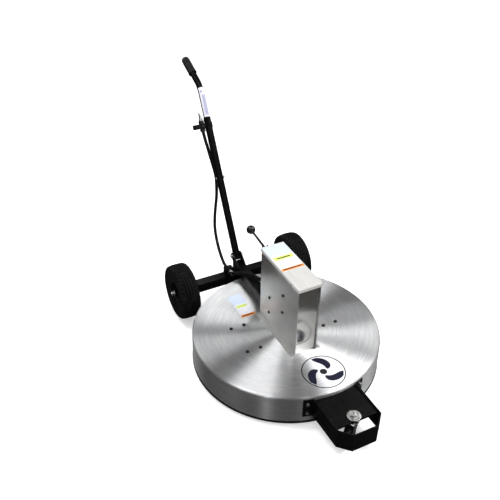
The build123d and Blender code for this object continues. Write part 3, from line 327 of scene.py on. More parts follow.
def black_oxide():
    """Oiled black-oxide bolts and valve body."""
    material, tree, shader, place = new_material("black_oxide", Metallic=0.6)
    clouds = noise(tree, place, 160.0, detail=4.0)
    shade = mix_colour(tree, ramp(tree, clouds, 0.4, 0.7), grey(0.012), grey(0.035, (1.0, 0.98, 0.96)))
    feed(tree, shader, Base_Color=shade, Roughness=ramp(tree, clouds, 0.3, 0.7, 0.30, 0.46))
    return material


def gloss_plastic():
    """Glossy black ball knob with scuffs."""
    material, tree, shader, place = new_material("knob_plastic", Specular_IOR_Level=0.5)
    scuffs = noise(tree, place, 120.0, detail=6.0, roughness=0.75)
    shade = mix_colour(tree, ramp(tree, scuffs, 0.5, 0.75), grey(0.006), grey(0.014))
    feed(tree, shader, Base_Color=shade, Roughness=ramp(tree, scuffs, 0.45, 0.75, 0.14, 0.34),
         Normal=bump(tree, scuffs, 0.04, 0.5 * MM))
    return material


def caster_rubber():
    """Hard black caster tread, dusty in patches."""
    material, tree, shader, place = new_material("caster_rubber", Specular_IOR_Level=0.38)
    dust = noise(tree, place, 60.0, detail=5.0)
    shade = mix_colour(tree, ramp(tree, dust, 0.4, 0.75), grey(0.010), grey(0.032, (1.0, 0.98, 0.95)))
    feed(tree, shader, Base_Color=shade, Roughness=ramp(tree, dust, 0.3, 0.7, 0.42, 0.62),
         Normal=bump(tree, noise(tree, place, 800.0), 0.15, 0.4 * MM))
    return material


def printed_film(name, colour):
    """Printed vinyl: nearly even colour with a slight gloss variation."""
    material, tree, shader, place = new_material(name, Specular_IOR_Level=0.25)
    clouds = noise(tree, place, 60.0, detail=4.0)
    darker = tuple(part * 0.90 for part in colour)
    shade = mix_colour(tree, ramp(tree, clouds, 0.4, 0.7), (*colour, 1.0), (*darker, 1.0))
    feed(tree, shader, Base_Color=shade,
         Roughness=ramp(tree, clouds, 0.3, 0.7, 0.27, 0.40))
    return material


ALUMINIUM_SPUN = spun_aluminium()
UPRIGHT, LENGTHWISE = (0.0, 0.0, 1.0), (0.0, 1.0, 0.0)
ALUMINIUM_WALL = sheet_aluminium("wall_aluminium", UPRIGHT, (1.0, 0.995, 0.97), base=0.60, rough=0.40)
ALUMINIUM_COVER = sheet_aluminium("cover_aluminium", UPRIGHT, (1.0, 0.99, 0.95), base=0.60, rough=0.14)
ALUMINIUM_LID = sheet_aluminium("lid_aluminium", LENGTHWISE, (1.0, 0.99, 0.96), 0.80, 0.42, metal=0.6)
BLACK_COAT = powder_coat()
HOSE_RUBBER = hose_rubber()
GRIP_RUBBER = grip_rubber()
TYRE_RUBBER = tyre_rubber()
ZINC = zinc_plate()
STAINLESS = stainless()
BRASS = machined_brass()
BLACK_OXIDE = black_oxide()
KNOB_PLASTIC = gloss_plastic()
CASTER_RUBBER = caster_rubber()
FILM_WHITE = printed_film("film_white", (0.60, 0.61, 0.66))
FILM_GREEN = printed_film("film_green", (0.50, 0.60, 0.13))
FILM_ORANGE = printed_film("film_orange", (0.72, 0.24, 0.05))
FILM_DARK = printed_film("film_dark", (0.012, 0.010, 0.014))
FILM_NAVY = printed_film("film_navy", (0.006, 0.006, 0.020))
FILM_LILAC = printed_film("film_lilac", (0.30, 0.30, 0.42))
FILM_BLUE = printed_film("film_blue", (0.46, 0.53, 0.66))

SLOT_MATERIALS = {
    "brushed_aluminium": ALUMINIUM_WALL,
    "black_steel": BLACK_COAT,
    "zinc_steel": ZINC,
    "stainless": STAINLESS,
    "brass": BRASS,
    "black_rubber": HOSE_RUBBER,
    "tyre_rubber": TYRE_RUBBER,
    "black_plastic": KNOB_PLASTIC,
    "black_oxide": BLACK_OXIDE,
    "caster_tread": CASTER_RUBBER,
}
NODE_MATERIALS = {
    "deck_shell": ALUMINIUM_SPUN,
    "housing_lid": ALUMINIUM_LID,
    "housing_front_cover": ALUMINIUM_COVER,
    "ball_valve": BLACK_OXIDE,
    "caster_nut": STAINLESS,
    "guide_rail_bolts": BLACK_OXIDE,
}


# ---- edges of the CAD nodes -------------------------------------------------------------
def shading_group(angle):
    """Geometry nodes that drop the imported normals and shade smooth below an edge angle."""
    group = bpy.data.node_groups.new("smooth_below_angle", "GeometryNodeTree")
    group.interface.new_socket("Geometry", in_out="INPUT", socket_type="NodeSocketGeometry")
    group.interface.new_socket("Geometry", in_out="OUTPUT", socket_type="NodeSocketGeometry")
    start = group.nodes.new("NodeGroupInput")
    end = group.nodes.new("NodeGroupOutput")
    edge = group.nodes.new("GeometryNodeInputMeshEdgeAngle")
    sharp = add_node(group, "ShaderNodeMath", {0: edge.outputs[0], 1: angle}, operation="GREATER_THAN")
    normals = group.nodes.new("GeometryNodeSetMeshNormal")
    normals.mode = "SHARPNESS"
    normals.inputs["Remove Custom"].default_value = True
    group.links.new(start.outputs[0], normals.inputs["Mesh"])
    group.links.new(sharp.outputs[0], normals.inputs["Edge Sharpness"])
    group.links.new(normals.outputs[0], end.inputs[0])
    return group


SMOOTH_BELOW_ANGLE = shading_group(math.radians(32.0))


def soften(piece, width):
    """Rounds a sharp-edged piece's edges by a small width, so that they catch the light."""
    weld = piece.modifiers.new("weld", "WELD")
    weld.merge_threshold = 0.01 * MM
    flat = piece.modifiers.new("flat_faces", "DECIMATE")
    flat.decimate_type = "DISSOLVE"
    flat.angle_limit = math.radians(0.5)
    edge = piece.modifiers.new("edges", "BEVEL")
    edge.width = width
    edge.segments = 2
    edge.limit_method = "ANGLE"
    edge.angle_limit = math.radians(34.0)
    edge.miter_outer = "MITER_ARC"
    edge.use_clamp_overlap = True
    shade = piece.modifiers.new("shading", "NODES")
    shade.node_group = SMOOTH_BELOW_ANGLE
    flat_shading = piece.modifiers.new("flat_shading", "WEIGHTED_NORMAL")
    flat_shading.weight = 100
    flat_shading.keep_sharp = True


EDGE_WIDTHS = {               # millimetres
    "deck_edge_trim": 1.0, "cross_channel_front": 0.8, "cross_channel_rear": 0.8,
    "housing_side_left": 0.8, "housing_side_right": 0.8, "housing_front_cover": 0.8,
    "housing_rear_cover": 0.8, "housing_lid": 1.4, "lever_bracket": 0.8, "lever_arm": 0.8,
    "swivel_carriage": 0.8, "rotor_hub": 1.0, "spray_arm_left": 0.8, "spray_arm_right": 0.8,
    "tongue": 3.0, "axle_beam": 3.0, "handle_plate_left": 1.0, "handle_plate_right": 1.0,
    "bumper_loop": 1.2, "caster_stem": 1.0, "caster_fork": 0.9, "caster_wheel": 1.0,
    "valve_bracket": 0.8, "valve_lever": 1.0, "ball_valve": 1.2, "inlet_plug": 0.6,
    "hose_block": 1.6, "wheel_nuts": 0.7, "caster_nut": 0.7, "caster_axle_bolt": 0.6,
    "handle_pivot_bolt": 0.6, "handle_joint_bolt": 0.5, "guide_rail_bolts": 0.5,
    "housing_flange_bolts": 0.4, "lever_pivot_bolt": 0.5, "bumper_bolts": 0.6, "tongue_bolts": 0.6,
    "housing_inlet_fitting": 0.6, "handle_lower_tube": 0.6, "lever_knob": 0.8,
}


def dress_cad_nodes():
    """Gives every CAD node its material, and round edges where it has sharp ones."""
    slots = {entry["node"]: entry["material_slot"] for entry in frame["record"]["subparts"]}
    for name, piece in frame["nodes"].items():
        material = NODE_MATERIALS.get(name, SLOT_MATERIALS[slots[name]])
        for slot in piece.material_slots:
            slot.link = "OBJECT"
            slot.material = material
        if name in EDGE_WIDTHS:
            soften(piece, EDGE_WIDTHS[name] * MM)


dress_cad_nodes()


# ---- builders of pieces -----------------------------------------------------------------
def add_piece(name, points, faces, material, body, slot):
    """Mesh with outward normals, smooth except at sharp edges, that rides on a body if one is named."""
    form = bmesh.new()
    corners = [form.verts.new(point) for point in points]
    for face in faces:
        form.faces.new([corners[index] for index in face])
    bmesh.ops.remove_doubles(form, verts=form.verts, dist=0.001 * MM)
    bmesh.ops.recalc_face_normals(form, faces=form.faces)
    mesh = bpy.data.meshes.new(name)
    form.to_mesh(mesh)
    form.free()
    for face in mesh.polygons:
        face.use_smooth = True
    mesh.materials.append(material)
    piece = bpy.data.objects.new(name, mesh)
    bpy.context.scene.collection.objects.link(piece)
    shade = piece.modifiers.new("shading", "NODES")
    shade.node_group = SMOOTH_BELOW_ANGLE
    if body is not None:
        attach(piece, body)
    return piece


def side_axes(axis):
    """Two unit vectors square to an axis and to each other."""
    helper = Vector((0.0, 0.0, 1.0)) if abs(axis.z) < 0.9 else Vector((1.0, 0.0, 0.0))
    first = axis.cross(helper).normalized()
    return first, axis.cross(first).normalized()


def ring_faces(rows, count, loop=False):
    """Quads of a grid whose rows are rings of count points; with loop the last row meets the first."""
    faces = []
    for row in range(rows if loop else rows - 1):
        start, after = row * count, (row + 1) % rows * count
        for step in range(count):
            beside = (step + 1) % count
            faces.append((start + step, start + beside, after + beside, after + step))
    return faces


def lathe(profile, origin, axis, count=64, loop=False):
    """Points and faces of a profile of (along, radius) pairs in millimetres, turned about an axis."""
    axis = Vector(axis).normalized()
    first, second = side_axes(axis)
    points = []
    for along, radius in profile:
        for step in range(count):
            angle = 2 * math.pi * step / count
            out = first * math.cos(angle) + second * math.sin(angle)
            points.append(origin + (axis * along + out * radius) * MM)
    return points, ring_faces(len(profile), count, loop)


def prism(outline, origin, right, up, depth):
    """Points and faces of a flat outline (pairs in millimetres) raised by a depth towards right x up."""
    out = right.cross(up).normalized() * depth * MM
    base = [origin + (right * x + up * y) * MM for x, y in outline]
    points = base + [point + out for point in base]
    count = len(outline)
    faces = [tuple(range(count)), tuple(range(2 * count - 1, count - 1, -1))]
    faces += [(i, (i + 1) % count, count + (i + 1) % count, count + i) for i in range(count)]
    return points, faces


def rounded_box(x, y, radius, steps=5):
    """Outline of a rectangle between two x and two y limits, with round corners."""
    low_x, high_x = x[0] + radius, x[1] - radius
    low_y, high_y = y[0] + radius, y[1] - radius
    centres = [(high_x, high_y), (low_x, high_y), (low_x, low_y), (high_x, low_y)]
    outline = []
    for corner, (centre_x, centre_y) in enumerate(centres):
        for step in range(steps + 1):
            angle = math.pi / 2 * (corner + step / steps)
            outline.append((centre_x + radius * math.cos(angle), centre_y + radius * math.sin(angle)))
    return outline


def joined(*shapes):
    """One set of points and faces from several."""
    points, faces = [], []
    for more_points, more_faces in shapes:
        start = len(points)
        points += more_points
        faces += [tuple(index + start for index in face) for face in more_faces]
    return points, faces


# ---- wheels -----------------------------------------------------------------------------
TYRE_OUTLINE = [
    (-36.0, 64.5), (-41.0, 67.0), (-44.5, 75.0), (-48.5, 90.0), (-50.5, 106.0), (-50.5, 122.0),
    (-47.5, 134.0), (-40.0, 141.5), (-22.0, 145.0), (0.0, 146.0),
]                             # half of the section: across, radius
TREAD_TEETH = 42              # round the tyre
TOOTH_STEPS = 10              # mesh steps in a tooth
TREAD_DEPTH = 5.5
TREAD_GROOVES = (-24.0, -8.0, 8.0, 24.0)
GROOVE_HALF = 2.6
TOOTH_REACH = 3.6             # sideways swing of the sawtooth grooves
SHOULDER_FROM, SHOULDER_TO = 32.0, 47.0
SHOULDER_SLOT = 0.20          # half width of a shoulder slot, in teeth
TREAD_INSIDE = 120.0          # the tread's cuts lie outside this radius
FINE_INSIDE = 130.0           # and the mesh is twice as fine outside this one


def smooth_profile(knots, steps):
    """Catmull-Rom curve through the knots."""
    padded = [knots[0]] + list(knots) + [knots[-1]]
    curve = []
    for p0, p1, p2, p3 in zip(padded, padded[1:], padded[2:], padded[3:]):
        for step in range(steps):
            t = step / steps
            spot = []
            for a, b, c, d in zip(p0, p1, p2, p3):
                square, cube = 2 * a - 5 * b + 4 * c - d, 3 * b - a - 3 * c + d
                spot.append(0.5 * (2 * b + (c - a) * t + square * t * t + cube * t**3))
            curve.append(tuple(spot))
    return curve + [tuple(knots[-1])]


def tread_cut(across, turn):
    """Depth of the tread's grooves at a place on the tyre; turn is in teeth."""
    phase = turn % 1.0
    swing = TOOTH_REACH * (2.0 * phase - 1.0)
    cut = 0.0
    for middle in TREAD_GROOVES:
        away = abs(across - middle - swing) / GROOVE_HALF
        cut = max(cut, 1.0 - away * away)
    side = abs(across)
    if SHOULDER_FROM < side < SHOULDER_TO:
        away = abs(phase - 0.5) / SHOULDER_SLOT
        edge = min(1.0, (side - SHOULDER_FROM) / 3.0, (SHOULDER_TO - side) / 4.0)
        cut = max(cut, edge * (1.0 - away * away))
    return TREAD_DEPTH * min(1.0, 1.8 * max(0.0, cut))


def side_word(side):
    return "right" if side > 0 else "left"


def tyre_section():
    """Whole section of the tyre as (across, radius) pairs, closer together on the tread."""
    half = smooth_profile(TYRE_OUTLINE, 5)
    fine = [half[0]]
    for knot in half[1:]:
        if knot[1] > FINE_INSIDE:
            fine.append(((fine[-1][0] + knot[0]) / 2, (fine[-1][1] + knot[1]) / 2))
        fine.append(knot)
    return fine + [(-across, radius) for across, radius in reversed(fine[:-1])]


def add_tyre(side):
    """Pneumatic tyre with its tread cut in the mesh."""
    section = tyre_section()
    count = TREAD_TEETH * TOOTH_STEPS
    centre = at(side * WHEEL_X, AXLE_Y, WHEEL_RADIUS)
    points = []
    for across, radius in section:
        for step in range(count):
            angle = 2 * math.pi * step / count
            cut = tread_cut(across, step / TOOTH_STEPS) if radius > TREAD_INSIDE else 0.0
            reach = (radius - cut) * MM
            offset = (across * MM, reach * math.sin(angle), reach * math.cos(angle))
            points.append(centre + Vector(offset))
    faces = ring_faces(len(section), count, loop=True)
    word = side_word(side)
    tyre = add_piece(f"tyre_tread_{word}", points, faces, TYRE_RUBBER, f"wheel_{word}", "tyre_rubber")
    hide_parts(f"tyre_{word}")


RIM_FACE = [
    (HUB_END, 8.4), (HUB_END, 18.5), (HUB_END - 1.5, 20.0), (12.0, 20.5), (8.0, 24.0), (7.0, 31.0),
    (9.0, 39.0), (15.0, 47.0), (26.0, 53.0), (36.0, 55.5), (40.0, 58.0), (42.5, 62.5), (43.5, 68.0),
    (42.0, 70.0), (39.5, 68.5), (37.5, 64.2), (34.0, 63.4),
]                             # half of the section: distance from the middle, radius
RIM_BOLTS = 5
RIM_BOLT_CIRCLE = 31.0
RIM_BOLT_SEAT = 6.5           # from the wheel's middle
RIM_BOLT_HEAD = [(0.0, 0.0), (0.0, 6.5), (3.5, 6.5), (4.2, 5.8), (4.2, 0.0)]


def add_rim(side):
    """Dished steel rim with its hub, and the bolts on its outer face."""
    centre = at(side * WHEEL_X, AXLE_Y, WHEEL_RADIUS)
    word = side_word(side)
    section = RIM_FACE + [(-along, radius) for along, radius in reversed(RIM_FACE)]
    points, faces = lathe(section, centre, (1.0, 0.0, 0.0), count=96, loop=True)
    rim = add_piece(f"rim_dish_{word}", points, faces, BLACK_COAT, f"wheel_{word}", "black_steel")
    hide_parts(f"rim_{word}")
    heads = []
    for index in range(RIM_BOLTS):
        angle = 2 * math.pi * (index + 0.25) / RIM_BOLTS
        along, up = RIM_BOLT_CIRCLE * math.cos(angle), RIM_BOLT_CIRCLE * math.sin(angle)
        offset = (side * RIM_BOLT_SEAT, along, up)
        heads.append(lathe(RIM_BOLT_HEAD, centre + Vector(offset) * MM, (side, 0.0, 0.0), count=6))
    add_piece(f"rim_bolts_{word}", *joined(*heads), ZINC, f"wheel_{word}", "zinc_steel")


for wheel_side in (-1, 1):
    add_tyre(wheel_side)
    add_rim(wheel_side)


# ---- grip -------------------------------------------------------------------------------
GRIP_RIBS = 13
GRIP_RIB_PITCH = 6.5
GRIP_RIB_START = 11.0
GRIP_VALLEY = GRIP_RADIUS - 0.8
GRIP_COLLAR = GRIP_RADIUS + 1.2
GRIP_END_ROUND = 12.0


def grip_profile():
    """Collar, ribs and a round end, as (along, radius) pairs."""
    bore = UPPER_TUBE_RADIUS + 0.2
    profile = [(4.0, bore), (0.0, bore), (0.0, GRIP_RADIUS - 0.5), (1.0, GRIP_COLLAR), (6.0, GRIP_COLLAR),
               (8.0, GRIP_VALLEY)]
    for rib in range(GRIP_RIBS):
        foot = GRIP_RIB_START + rib * GRIP_RIB_PITCH
        crest_end, rib_end = foot + GRIP_RIB_PITCH - 2.4, foot + GRIP_RIB_PITCH - 1.6
        profile += [(foot, GRIP_VALLEY), (foot + 0.8, GRIP_RADIUS), (crest_end, GRIP_RADIUS),
                    (rib_end, GRIP_VALLEY)]
    for step in range(9):
        angle = math.pi / 2 * step / 8
        along = GRIP_LENGTH - GRIP_END_ROUND * (1 - math.sin(angle))
        profile.append((along, GRIP_RADIUS - 0.6 - GRIP_END_ROUND * (1 - math.cos(angle))))
    return profile + [(GRIP_LENGTH, 0.0)]


def add_grip():
    start = on_grip(GRIP_START)
    axis = (on_grip(GRIP_START + GRIP_LENGTH) - start).normalized()
    points, faces = lathe(grip_profile(), start, axis, count=72)
    grip = add_piece("grip_ribbed", points, faces, GRIP_RUBBER, "handle", "black_rubber")
    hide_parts("handle_grip")


add_grip()


# ---- hoses ------------------------------------------------------------------------------
def smooth_path(knots, rounds=5):
    """Points along a smooth curve that starts and ends at the first and last of the knots."""
    path = list(knots)
    for _ in range(rounds):   # corner cutting, which tends to a quadratic B-spline
        cut = [path[0]]
        for first, second in zip(path, path[1:]):
            cut += [first.lerp(second, 0.25), first.lerp(second, 0.75)]
        path = cut + [path[-1]]
    return path


def swept_tube(path, radius, count=20):
    """Points and faces of a round tube along a path, with closed ends."""
    points = []
    side = side_axes((path[1] - path[0]).normalized())[0]
    for index, centre in enumerate(path):
        axis = (path[min(index + 1, len(path) - 1)] - path[max(index - 1, 0)]).normalized()
        side = (side - axis * side.dot(axis)).normalized()
        other = axis.cross(side)
        for step in range(count):
            angle = 2 * math.pi * step / count
            points.append(centre + (side * math.cos(angle) + other * math.sin(angle)) * radius * MM)
    ends = [tuple(range(count)), tuple(range(len(points) - count, len(points)))]
    return points, ring_faces(len(path), count) + ends


HANDLE_HOSE_LEAVES = on_handle(-8.0, 30.5, 440.0)
HANDLE_HOSE = [               # from the valve down the handle, then in a slack bow to the block
    on_handle(-36.5, 0.0, 676.0), on_handle(-33.0, 6.0, 640.0), on_handle(-25.0, 16.0, 595.0),
    on_handle(-17.0, 24.5, 525.0), on_handle(-11.0, 28.0, 480.0), HANDLE_HOSE_LEAVES,
    at(-7.0, 781.0, 570.0), at(-13.0, 770.0, 500.0), at(-26.0, 764.0, 425.0), at(-44.0, 738.0, 330.0),
    at(-56.0, 665.0, 248.0), at(-63.0, 590.0, 206.0), at(-65.0, 555.0, 199.4), at(-65.0, 534.0, 199.4),
]


def add_handle_hose():
    """Hose between the chassis and the handle, curving away below the place where it leaves the tube."""
    points, faces = swept_tube(smooth_path(HANDLE_HOSE), HOSE_RADIUS)
    hose = add_piece("handle_hose_bent", points, faces, HOSE_RUBBER, None, "black_rubber")
    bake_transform(hose)
    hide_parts("handle_hose")


def add_whip_hose():
    """Copy of the short hose inside the housing."""
    whip = bpy.data.objects.new("whip_hose_bent", frame["nodes"]["whip_hose"].data.copy())
    bpy.context.scene.collection.objects.link(whip)
    whip.data.materials.clear()
    whip.data.materials.append(HOSE_RUBBER)
    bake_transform(whip)
    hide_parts("whip_hose")


FERRULE_NUT = 9.0             # length of the hexagon at the foot
FERRULE_NUT_RADIUS = 11.5
FERRULE_LENGTH = 35.0
FERRULE_RADIUS = HOSE_RADIUS + 1.8
FERRULE_CRIMPS = (12.0, 19.0, 26.0)


def add_ferrule(name, start, direction):
    """Crimped steel sleeve with a hexagon at its foot, round the end of a hose."""
    foot, out, end = FERRULE_NUT, FERRULE_RADIUS, FERRULE_LENGTH
    profile = [(foot, HOSE_RADIUS), (foot, out - 0.6), (foot + 1.0, out)]
    for crimp in FERRULE_CRIMPS:
        profile += [(crimp, out), (crimp + 1.0, out - 0.8), (crimp + 4.0, out - 0.8), (crimp + 5.0, out)]
    profile += [(end - 1.0, out), (end, out - 0.6), (end, HOSE_RADIUS)]
    sleeve = lathe(profile, start, direction, count=48, loop=True)
    nut = [(0.0, HOSE_RADIUS), (0.0, FERRULE_NUT_RADIUS), (foot, FERRULE_NUT_RADIUS), (foot, HOSE_RADIUS)]
    hexagon = lathe(nut, start, direction, count=6, loop=True)
    add_piece(name, *joined(sleeve, hexagon), ZINC, "chassis", "zinc_steel")


add_handle_hose()
add_whip_hose()
add_ferrule("ferrule_block_front", at(-65.0, 500.0, 199.4), (0.08, -1.0, 0.18))
add_ferrule("ferrule_inlet", at(38.0, 187.0, 252.0), (-0.01, 1.0, -0.06))


# ---- stickers ---------------------------------------------------------------------------
X_AXIS, Y_AXIS = Vector((1, 0, 0)), Vector((0, 1, 0))
# Name, x and y from the rotor axis, film, corner radius, layer. Plain bars stand where print would be.
LID_STICKER = [
    ("lid_sticker", (-57.0, 57.0), (-39.0, 163.0), FILM_WHITE, 3.0, 0),
    ("lid_sticker_sky", (-57.0, 57.0), (78.0, 163.0), FILM_BLUE, 3.0, 1),
    ("lid_sticker_green", (-50.0, 50.0), (44.0, 70.0), FILM_GREEN, 3.0, 1),
    ("lid_sticker_green_bar", (-34.0, 34.0), (53.0, 60.0), FILM_DARK, 2.0, 2),
    ("lid_sticker_orange", (-57.0, 57.0), (-39.0, -22.0), FILM_ORANGE, 3.0, 1),
    ("lid_sticker_orange_bar", (-48.0, 48.0), (-34.0, -27.0), FILM_DARK, 2.0, 2),
]
DECK_STICKER = [
    ("deck_sticker", (-158.0, -84.0), (161.0, 336.0), FILM_WHITE, 3.0, 0),
    ("deck_sticker_sky", (-158.0, -84.0), (262.0, 336.0), FILM_BLUE, 3.0, 1),
    ("deck_sticker_green", (-150.0, -92.0), (236.0, 254.0), FILM_GREEN, 3.0, 1),
    ("deck_sticker_orange", (-158.0, -84.0), (161.0, 180.0), FILM_ORANGE, 3.0, 1),
    ("deck_sticker_orange_bar", (-152.0, -90.0), (167.0, 174.0), FILM_DARK, 2.0, 2),
]


def add_sticker(layers, height):
    """Printed films on a level surface, each layer lying on the one below."""
    for name, x, y, film, radius, layer in layers:
        corner = at(0.0, 0.0, height + FILM * layer)
        shape = prism(rounded_box(x, y, radius), corner, X_AXIS, Y_AXIS, FILM)
        add_piece(name, *shape, film, "chassis", "brushed_aluminium")


EMBLEM_CENTRE = (10.0, -332.0)
EMBLEM_BLADES = 3
EMBLEM_BLADE_FROM, EMBLEM_BLADE_TO = 26.0, 92.0
EMBLEM_SWEEP = 1.15           # radians that a blade turns through on its way out
PIN_HOLE = 0.05               # radius that keeps a lathed disc's middle from closing on itself
EMBLEM_RINGS = ((PIN_HOLE, 17.0), (97.0, 102.0))


def emblem_blade(turn):
    """Swept blade of the plain rotor emblem on the deck."""
    steps = 14
    leading, trailing = [], []
    for step in range(steps + 1):
        share = step / steps
        radius = EMBLEM_BLADE_FROM + (EMBLEM_BLADE_TO - EMBLEM_BLADE_FROM) * share
        width = 0.95 * math.sin(math.pi * (0.12 + 0.80 * share)) + 0.06
        for side, edge in ((-1, leading), (1, trailing)):
            angle = turn + EMBLEM_SWEEP * share + side * width / 2
            across, along = radius * math.cos(angle), radius * math.sin(angle)
            edge.append((EMBLEM_CENTRE[0] + across, EMBLEM_CENTRE[1] + along))
    return prism(leading + trailing[::-1], at(0.0, 0.0, DECK_TOP), X_AXIS, Y_AXIS, FILM)


def disc(inner, outer, low, high, middle, count):
    """Points and faces of a flat ring about an upright axis."""
    section = [(low, inner), (low, outer), (high, outer), (high, inner)]
    return lathe(section, middle, (0.0, 0.0, 1.0), count=count, loop=True)


def add_emblem():
    """Plain three-bladed mark inside a ring."""
    blades = [emblem_blade(2 * math.pi * index / EMBLEM_BLADES + 0.4) for index in range(EMBLEM_BLADES)]
    add_piece("deck_emblem", *joined(*blades), FILM_NAVY, "chassis", "brushed_aluminium")
    middle = at(*EMBLEM_CENTRE, DECK_TOP)
    rings = [disc(inner, outer, 0.0, FILM, middle, 96) for inner, outer in EMBLEM_RINGS]
    add_piece("deck_emblem_rings", *joined(*rings), FILM_DARK, "chassis", "brushed_aluminium")


def add_bolt_socket_shade():
    """Black hexagon discs on the domes of the deck's eight bolts: painted shade in place of the recesses
    of their sockets.
    """
    dome_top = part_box("cross_channel_bolts")[1].z / MM
    spots = [at(x, y, dome_top) for x in DECK_BOLT_X for y in DECK_BOLT_Y]
    # The black discs are painted shade where the hexagon socket recesses would be.
    socket_shade_discs = [disc(PIN_HOLE, 2.7, -0.6, 0.15, spot, 6) for spot in spots]
    add_piece("deck_bolt_socket_shade", *joined(*socket_shade_discs), BLACK_OXIDE, "chassis", "black_oxide")


def tube_spot(along, turn, radius):
    """Point round the upper tube: along is measured on its axis, through the bend as well."""
    angle = math.radians(turn)
    x, back = radius * math.cos(angle), radius * math.sin(angle)
    bend = max(0.0, along - HANDLE_STRAIGHT) / HANDLE_BEND_RADIUS
    from_centre = HANDLE_BEND_RADIUS - back
    return on_handle(x, HANDLE_BEND_RADIUS - from_centre * math.cos(bend),
                     min(along, HANDLE_STRAIGHT) + from_centre * math.sin(bend))


def tube_wrap(name, low, high, angles, material, lift):
    """Film round part of the upper tube, between two angles in degrees from +X towards the rear."""
    inner = UPPER_TUBE_RADIUS + 0.02 + FILM * (lift - 1)
    steps, rows = 24, 16
    points, faces = [], []
    for radius in (inner, inner + FILM):
        for row in range(rows + 1):
            for step in range(steps + 1):
                turn = angles[0] + (angles[1] - angles[0]) * step / steps
                points.append(tube_spot(low + (high - low) * row / rows, turn, radius))
    wide = steps + 1
    layer = wide * (rows + 1)
    for row in range(rows):
        for step in range(steps):
            corner = row * wide + step
            face = (corner, corner + 1, corner + wide + 1, corner + wide)
            faces += [face, tuple(index + layer for index in reversed(face))]
    for row in range(rows):
        for corner in (row * wide, row * wide + steps):
            faces.append((corner, corner + wide, corner + wide + layer, corner + layer))
    for step in range(steps):
        for corner in (step, rows * wide + step):
            faces.append((corner, corner + 1, corner + 1 + layer, corner + layer))
    add_piece(name, points, faces, material, "handle", "black_steel")


def add_handle_sticker():
    """Pale wrap on the side of the upper tube that faces forward."""
    tube_wrap("handle_sticker", 748.0, 896.0, (208.0, 345.0), FILM_WHITE, 1)
    tube_wrap("handle_sticker_band", 758.0, 862.0, (246.0, 312.0), FILM_LILAC, 2)
    tube_wrap("handle_sticker_mark", 872.0, 882.0, (232.0, 268.0), FILM_LILAC, 2)


add_sticker(LID_STICKER, LID_TOP)
add_sticker(DECK_STICKER, DECK_TOP)
add_emblem()
add_bolt_socket_shade()
add_handle_sticker()


# ---- stage ------------------------------------------------------------------------------
def camera_axes():
    """Right, up and backward unit vectors of the camera."""
    azimuth, pitch = math.radians(CAMERA_AZIMUTH), math.radians(CAMERA_PITCH)
    level = math.cos(pitch)
    back = Vector((math.sin(azimuth) * level, -math.cos(azimuth) * level, math.sin(pitch)))
    right = Vector((math.cos(azimuth), math.sin(azimuth), 0.0))
    up = back.cross(right)
    roll = Matrix.Rotation(math.radians(CAMERA_ROLL), 3, back)
    return roll @ right, roll @ up, back


def add_camera():
    right, up, back = camera_axes()
    data = bpy.data.cameras.new("camera")
    data.lens = CAMERA_LENS
    data.shift_x, data.shift_y = CAMERA_SHIFT
    camera = bpy.data.objects.new("camera", data)
    bpy.context.scene.collection.objects.link(camera)
    turned = Matrix((right, up, back)).transposed().to_4x4()
    camera.matrix_world = Matrix.Translation(at(*CAMERA_PLACE)) @ turned
    bpy.context.scene.camera = camera


def softbox(name, right, away, height, size, power):
    """Rectangular lamp in a direction given as the camera sees the deck, aimed at the deck."""
    azimuth = math.radians(CAMERA_AZIMUTH)
    across = Vector((math.cos(azimuth), math.sin(azimuth), 0.0))
    forward = Vector((-math.sin(azimuth), math.cos(azimuth), 0.0))
    direction = (across * right + forward * away + Vector((0.0, 0.0, height))).normalized()
    data = bpy.data.lights.new(name, "AREA")
    data.shape = "RECTANGLE"
    data.size, data.size_y = size
    data.energy = power
    lamp = bpy.data.objects.new(name, data)
    bpy.context.scene.collection.objects.link(lamp)
    lamp.location = at(0.0, 0.0, DECK_TOP) + direction * STUDIO_RADIUS
    lamp.rotation_mode = "QUATERNION"
    lamp.rotation_quaternion = direction.to_track_quat("Z", "Y")


def add_lamps():
    """Softboxes, each of which makes its own fan of light on the spun deck."""
    softbox("lamp_overhead", -0.27, 0.0, 0.96, (0.45, 1.4), 36.0)
    softbox("lamp_right", 0.516, 0.008, 0.857, (0.9, 1.0), 46.0)
    softbox("lamp_right_rear", 0.639, 0.264, 0.722, (0.5, 1.0), 32.0)
    softbox("lamp_left_rear", -0.556, 0.52, 0.648, (0.17, 1.2), 10.0)
    softbox("lamp_rear", 0.443, 0.667, 0.6, (0.2, 1.0), 8.0)
    softbox("lamp_far_rear", -0.30, 0.81, 0.5, (0.35, 0.8), 8.0)
    softbox("lamp_front_left", -0.28, -0.80, 0.53, (0.10, 0.9), 5.0)
    softbox("lamp_front_right", 0.30, -0.72, 0.63, (0.10, 0.9), 3.0)


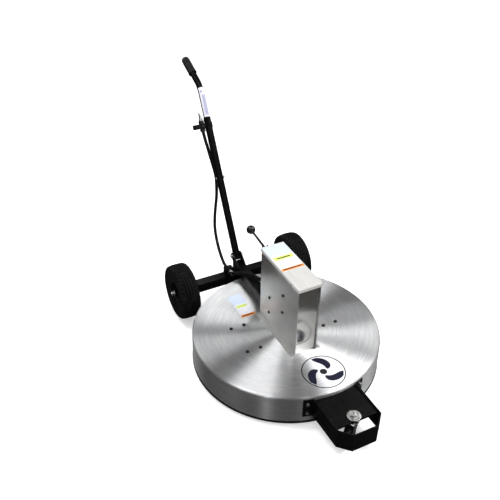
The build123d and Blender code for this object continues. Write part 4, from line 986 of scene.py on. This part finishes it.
def add_world():
    """White to the camera, a soft white dome for diffuse light, a darker room in reflections."""
    world = bpy.data.worlds.new("studio")
    bpy.context.scene.world = world
    world.use_nodes = True
    tree = world.node_tree
    tree.nodes.clear()
    path = add_node(tree, "ShaderNodeLightPath").outputs
    direction = add_node(tree, "ShaderNodeTexCoord").outputs["Generated"]
    height = add_node(tree, "ShaderNodeSeparateXYZ", {0: direction}).outputs[2]
    room = mix_colour(tree, ramp(tree, height, -0.1, 0.8), grey(0.07), grey(0.19))
    soft = mix_colour(tree, path["Is Glossy Ray"], grey(0.85), room)
    seen = mix_colour(tree, path["Is Camera Ray"], soft, grey(0.97))
    light = add_node(tree, "ShaderNodeBackground", {"Color": seen, "Strength": 1.0})
    add_node(tree, "ShaderNodeOutputWorld", {"Surface": light.outputs[0]})


def add_floor():
    """Plain pale floor; reflections in the metal see it as a darker workshop floor."""
    half = FLOOR_HALF
    corners = [(-half, -half, 0.0), (half, -half, 0.0), (half, half, 0.0), (-half, half, 0.0)]
    mesh = bpy.data.meshes.new("floor")
    mesh.from_pydata(corners, [], [(0, 1, 2, 3)])
    floor = bpy.data.objects.new("floor", mesh)
    bpy.context.scene.collection.objects.link(floor)
    material = bpy.data.materials.new("floor_paint")
    material.use_nodes = True
    tree = material.node_tree
    tree.nodes.clear()
    path = add_node(tree, "ShaderNodeLightPath").outputs
    pale = add_node(tree, "ShaderNodeBsdfDiffuse", {"Color": grey(0.80)})
    glow = add_node(tree, "ShaderNodeEmission", {"Color": grey(1.0), "Strength": 0.42})
    bright = add_node(tree, "ShaderNodeAddShader", {0: pale.outputs[0], 1: glow.outputs[0]})
    dark = add_node(tree, "ShaderNodeBsdfDiffuse", {"Color": grey(0.055, (1.0, 0.98, 0.94))})
    choice = {0: path["Is Glossy Ray"], 1: bright.outputs[0], 2: dark.outputs[0]}
    mixed = add_node(tree, "ShaderNodeMixShader", choice)
    add_node(tree, "ShaderNodeOutputMaterial", {"Surface": mixed.outputs[0]})
    mesh.materials.append(material)


add_camera()
add_lamps()
add_world()
add_floor()
bpy.context.scene.view_settings.view_transform = "Standard"
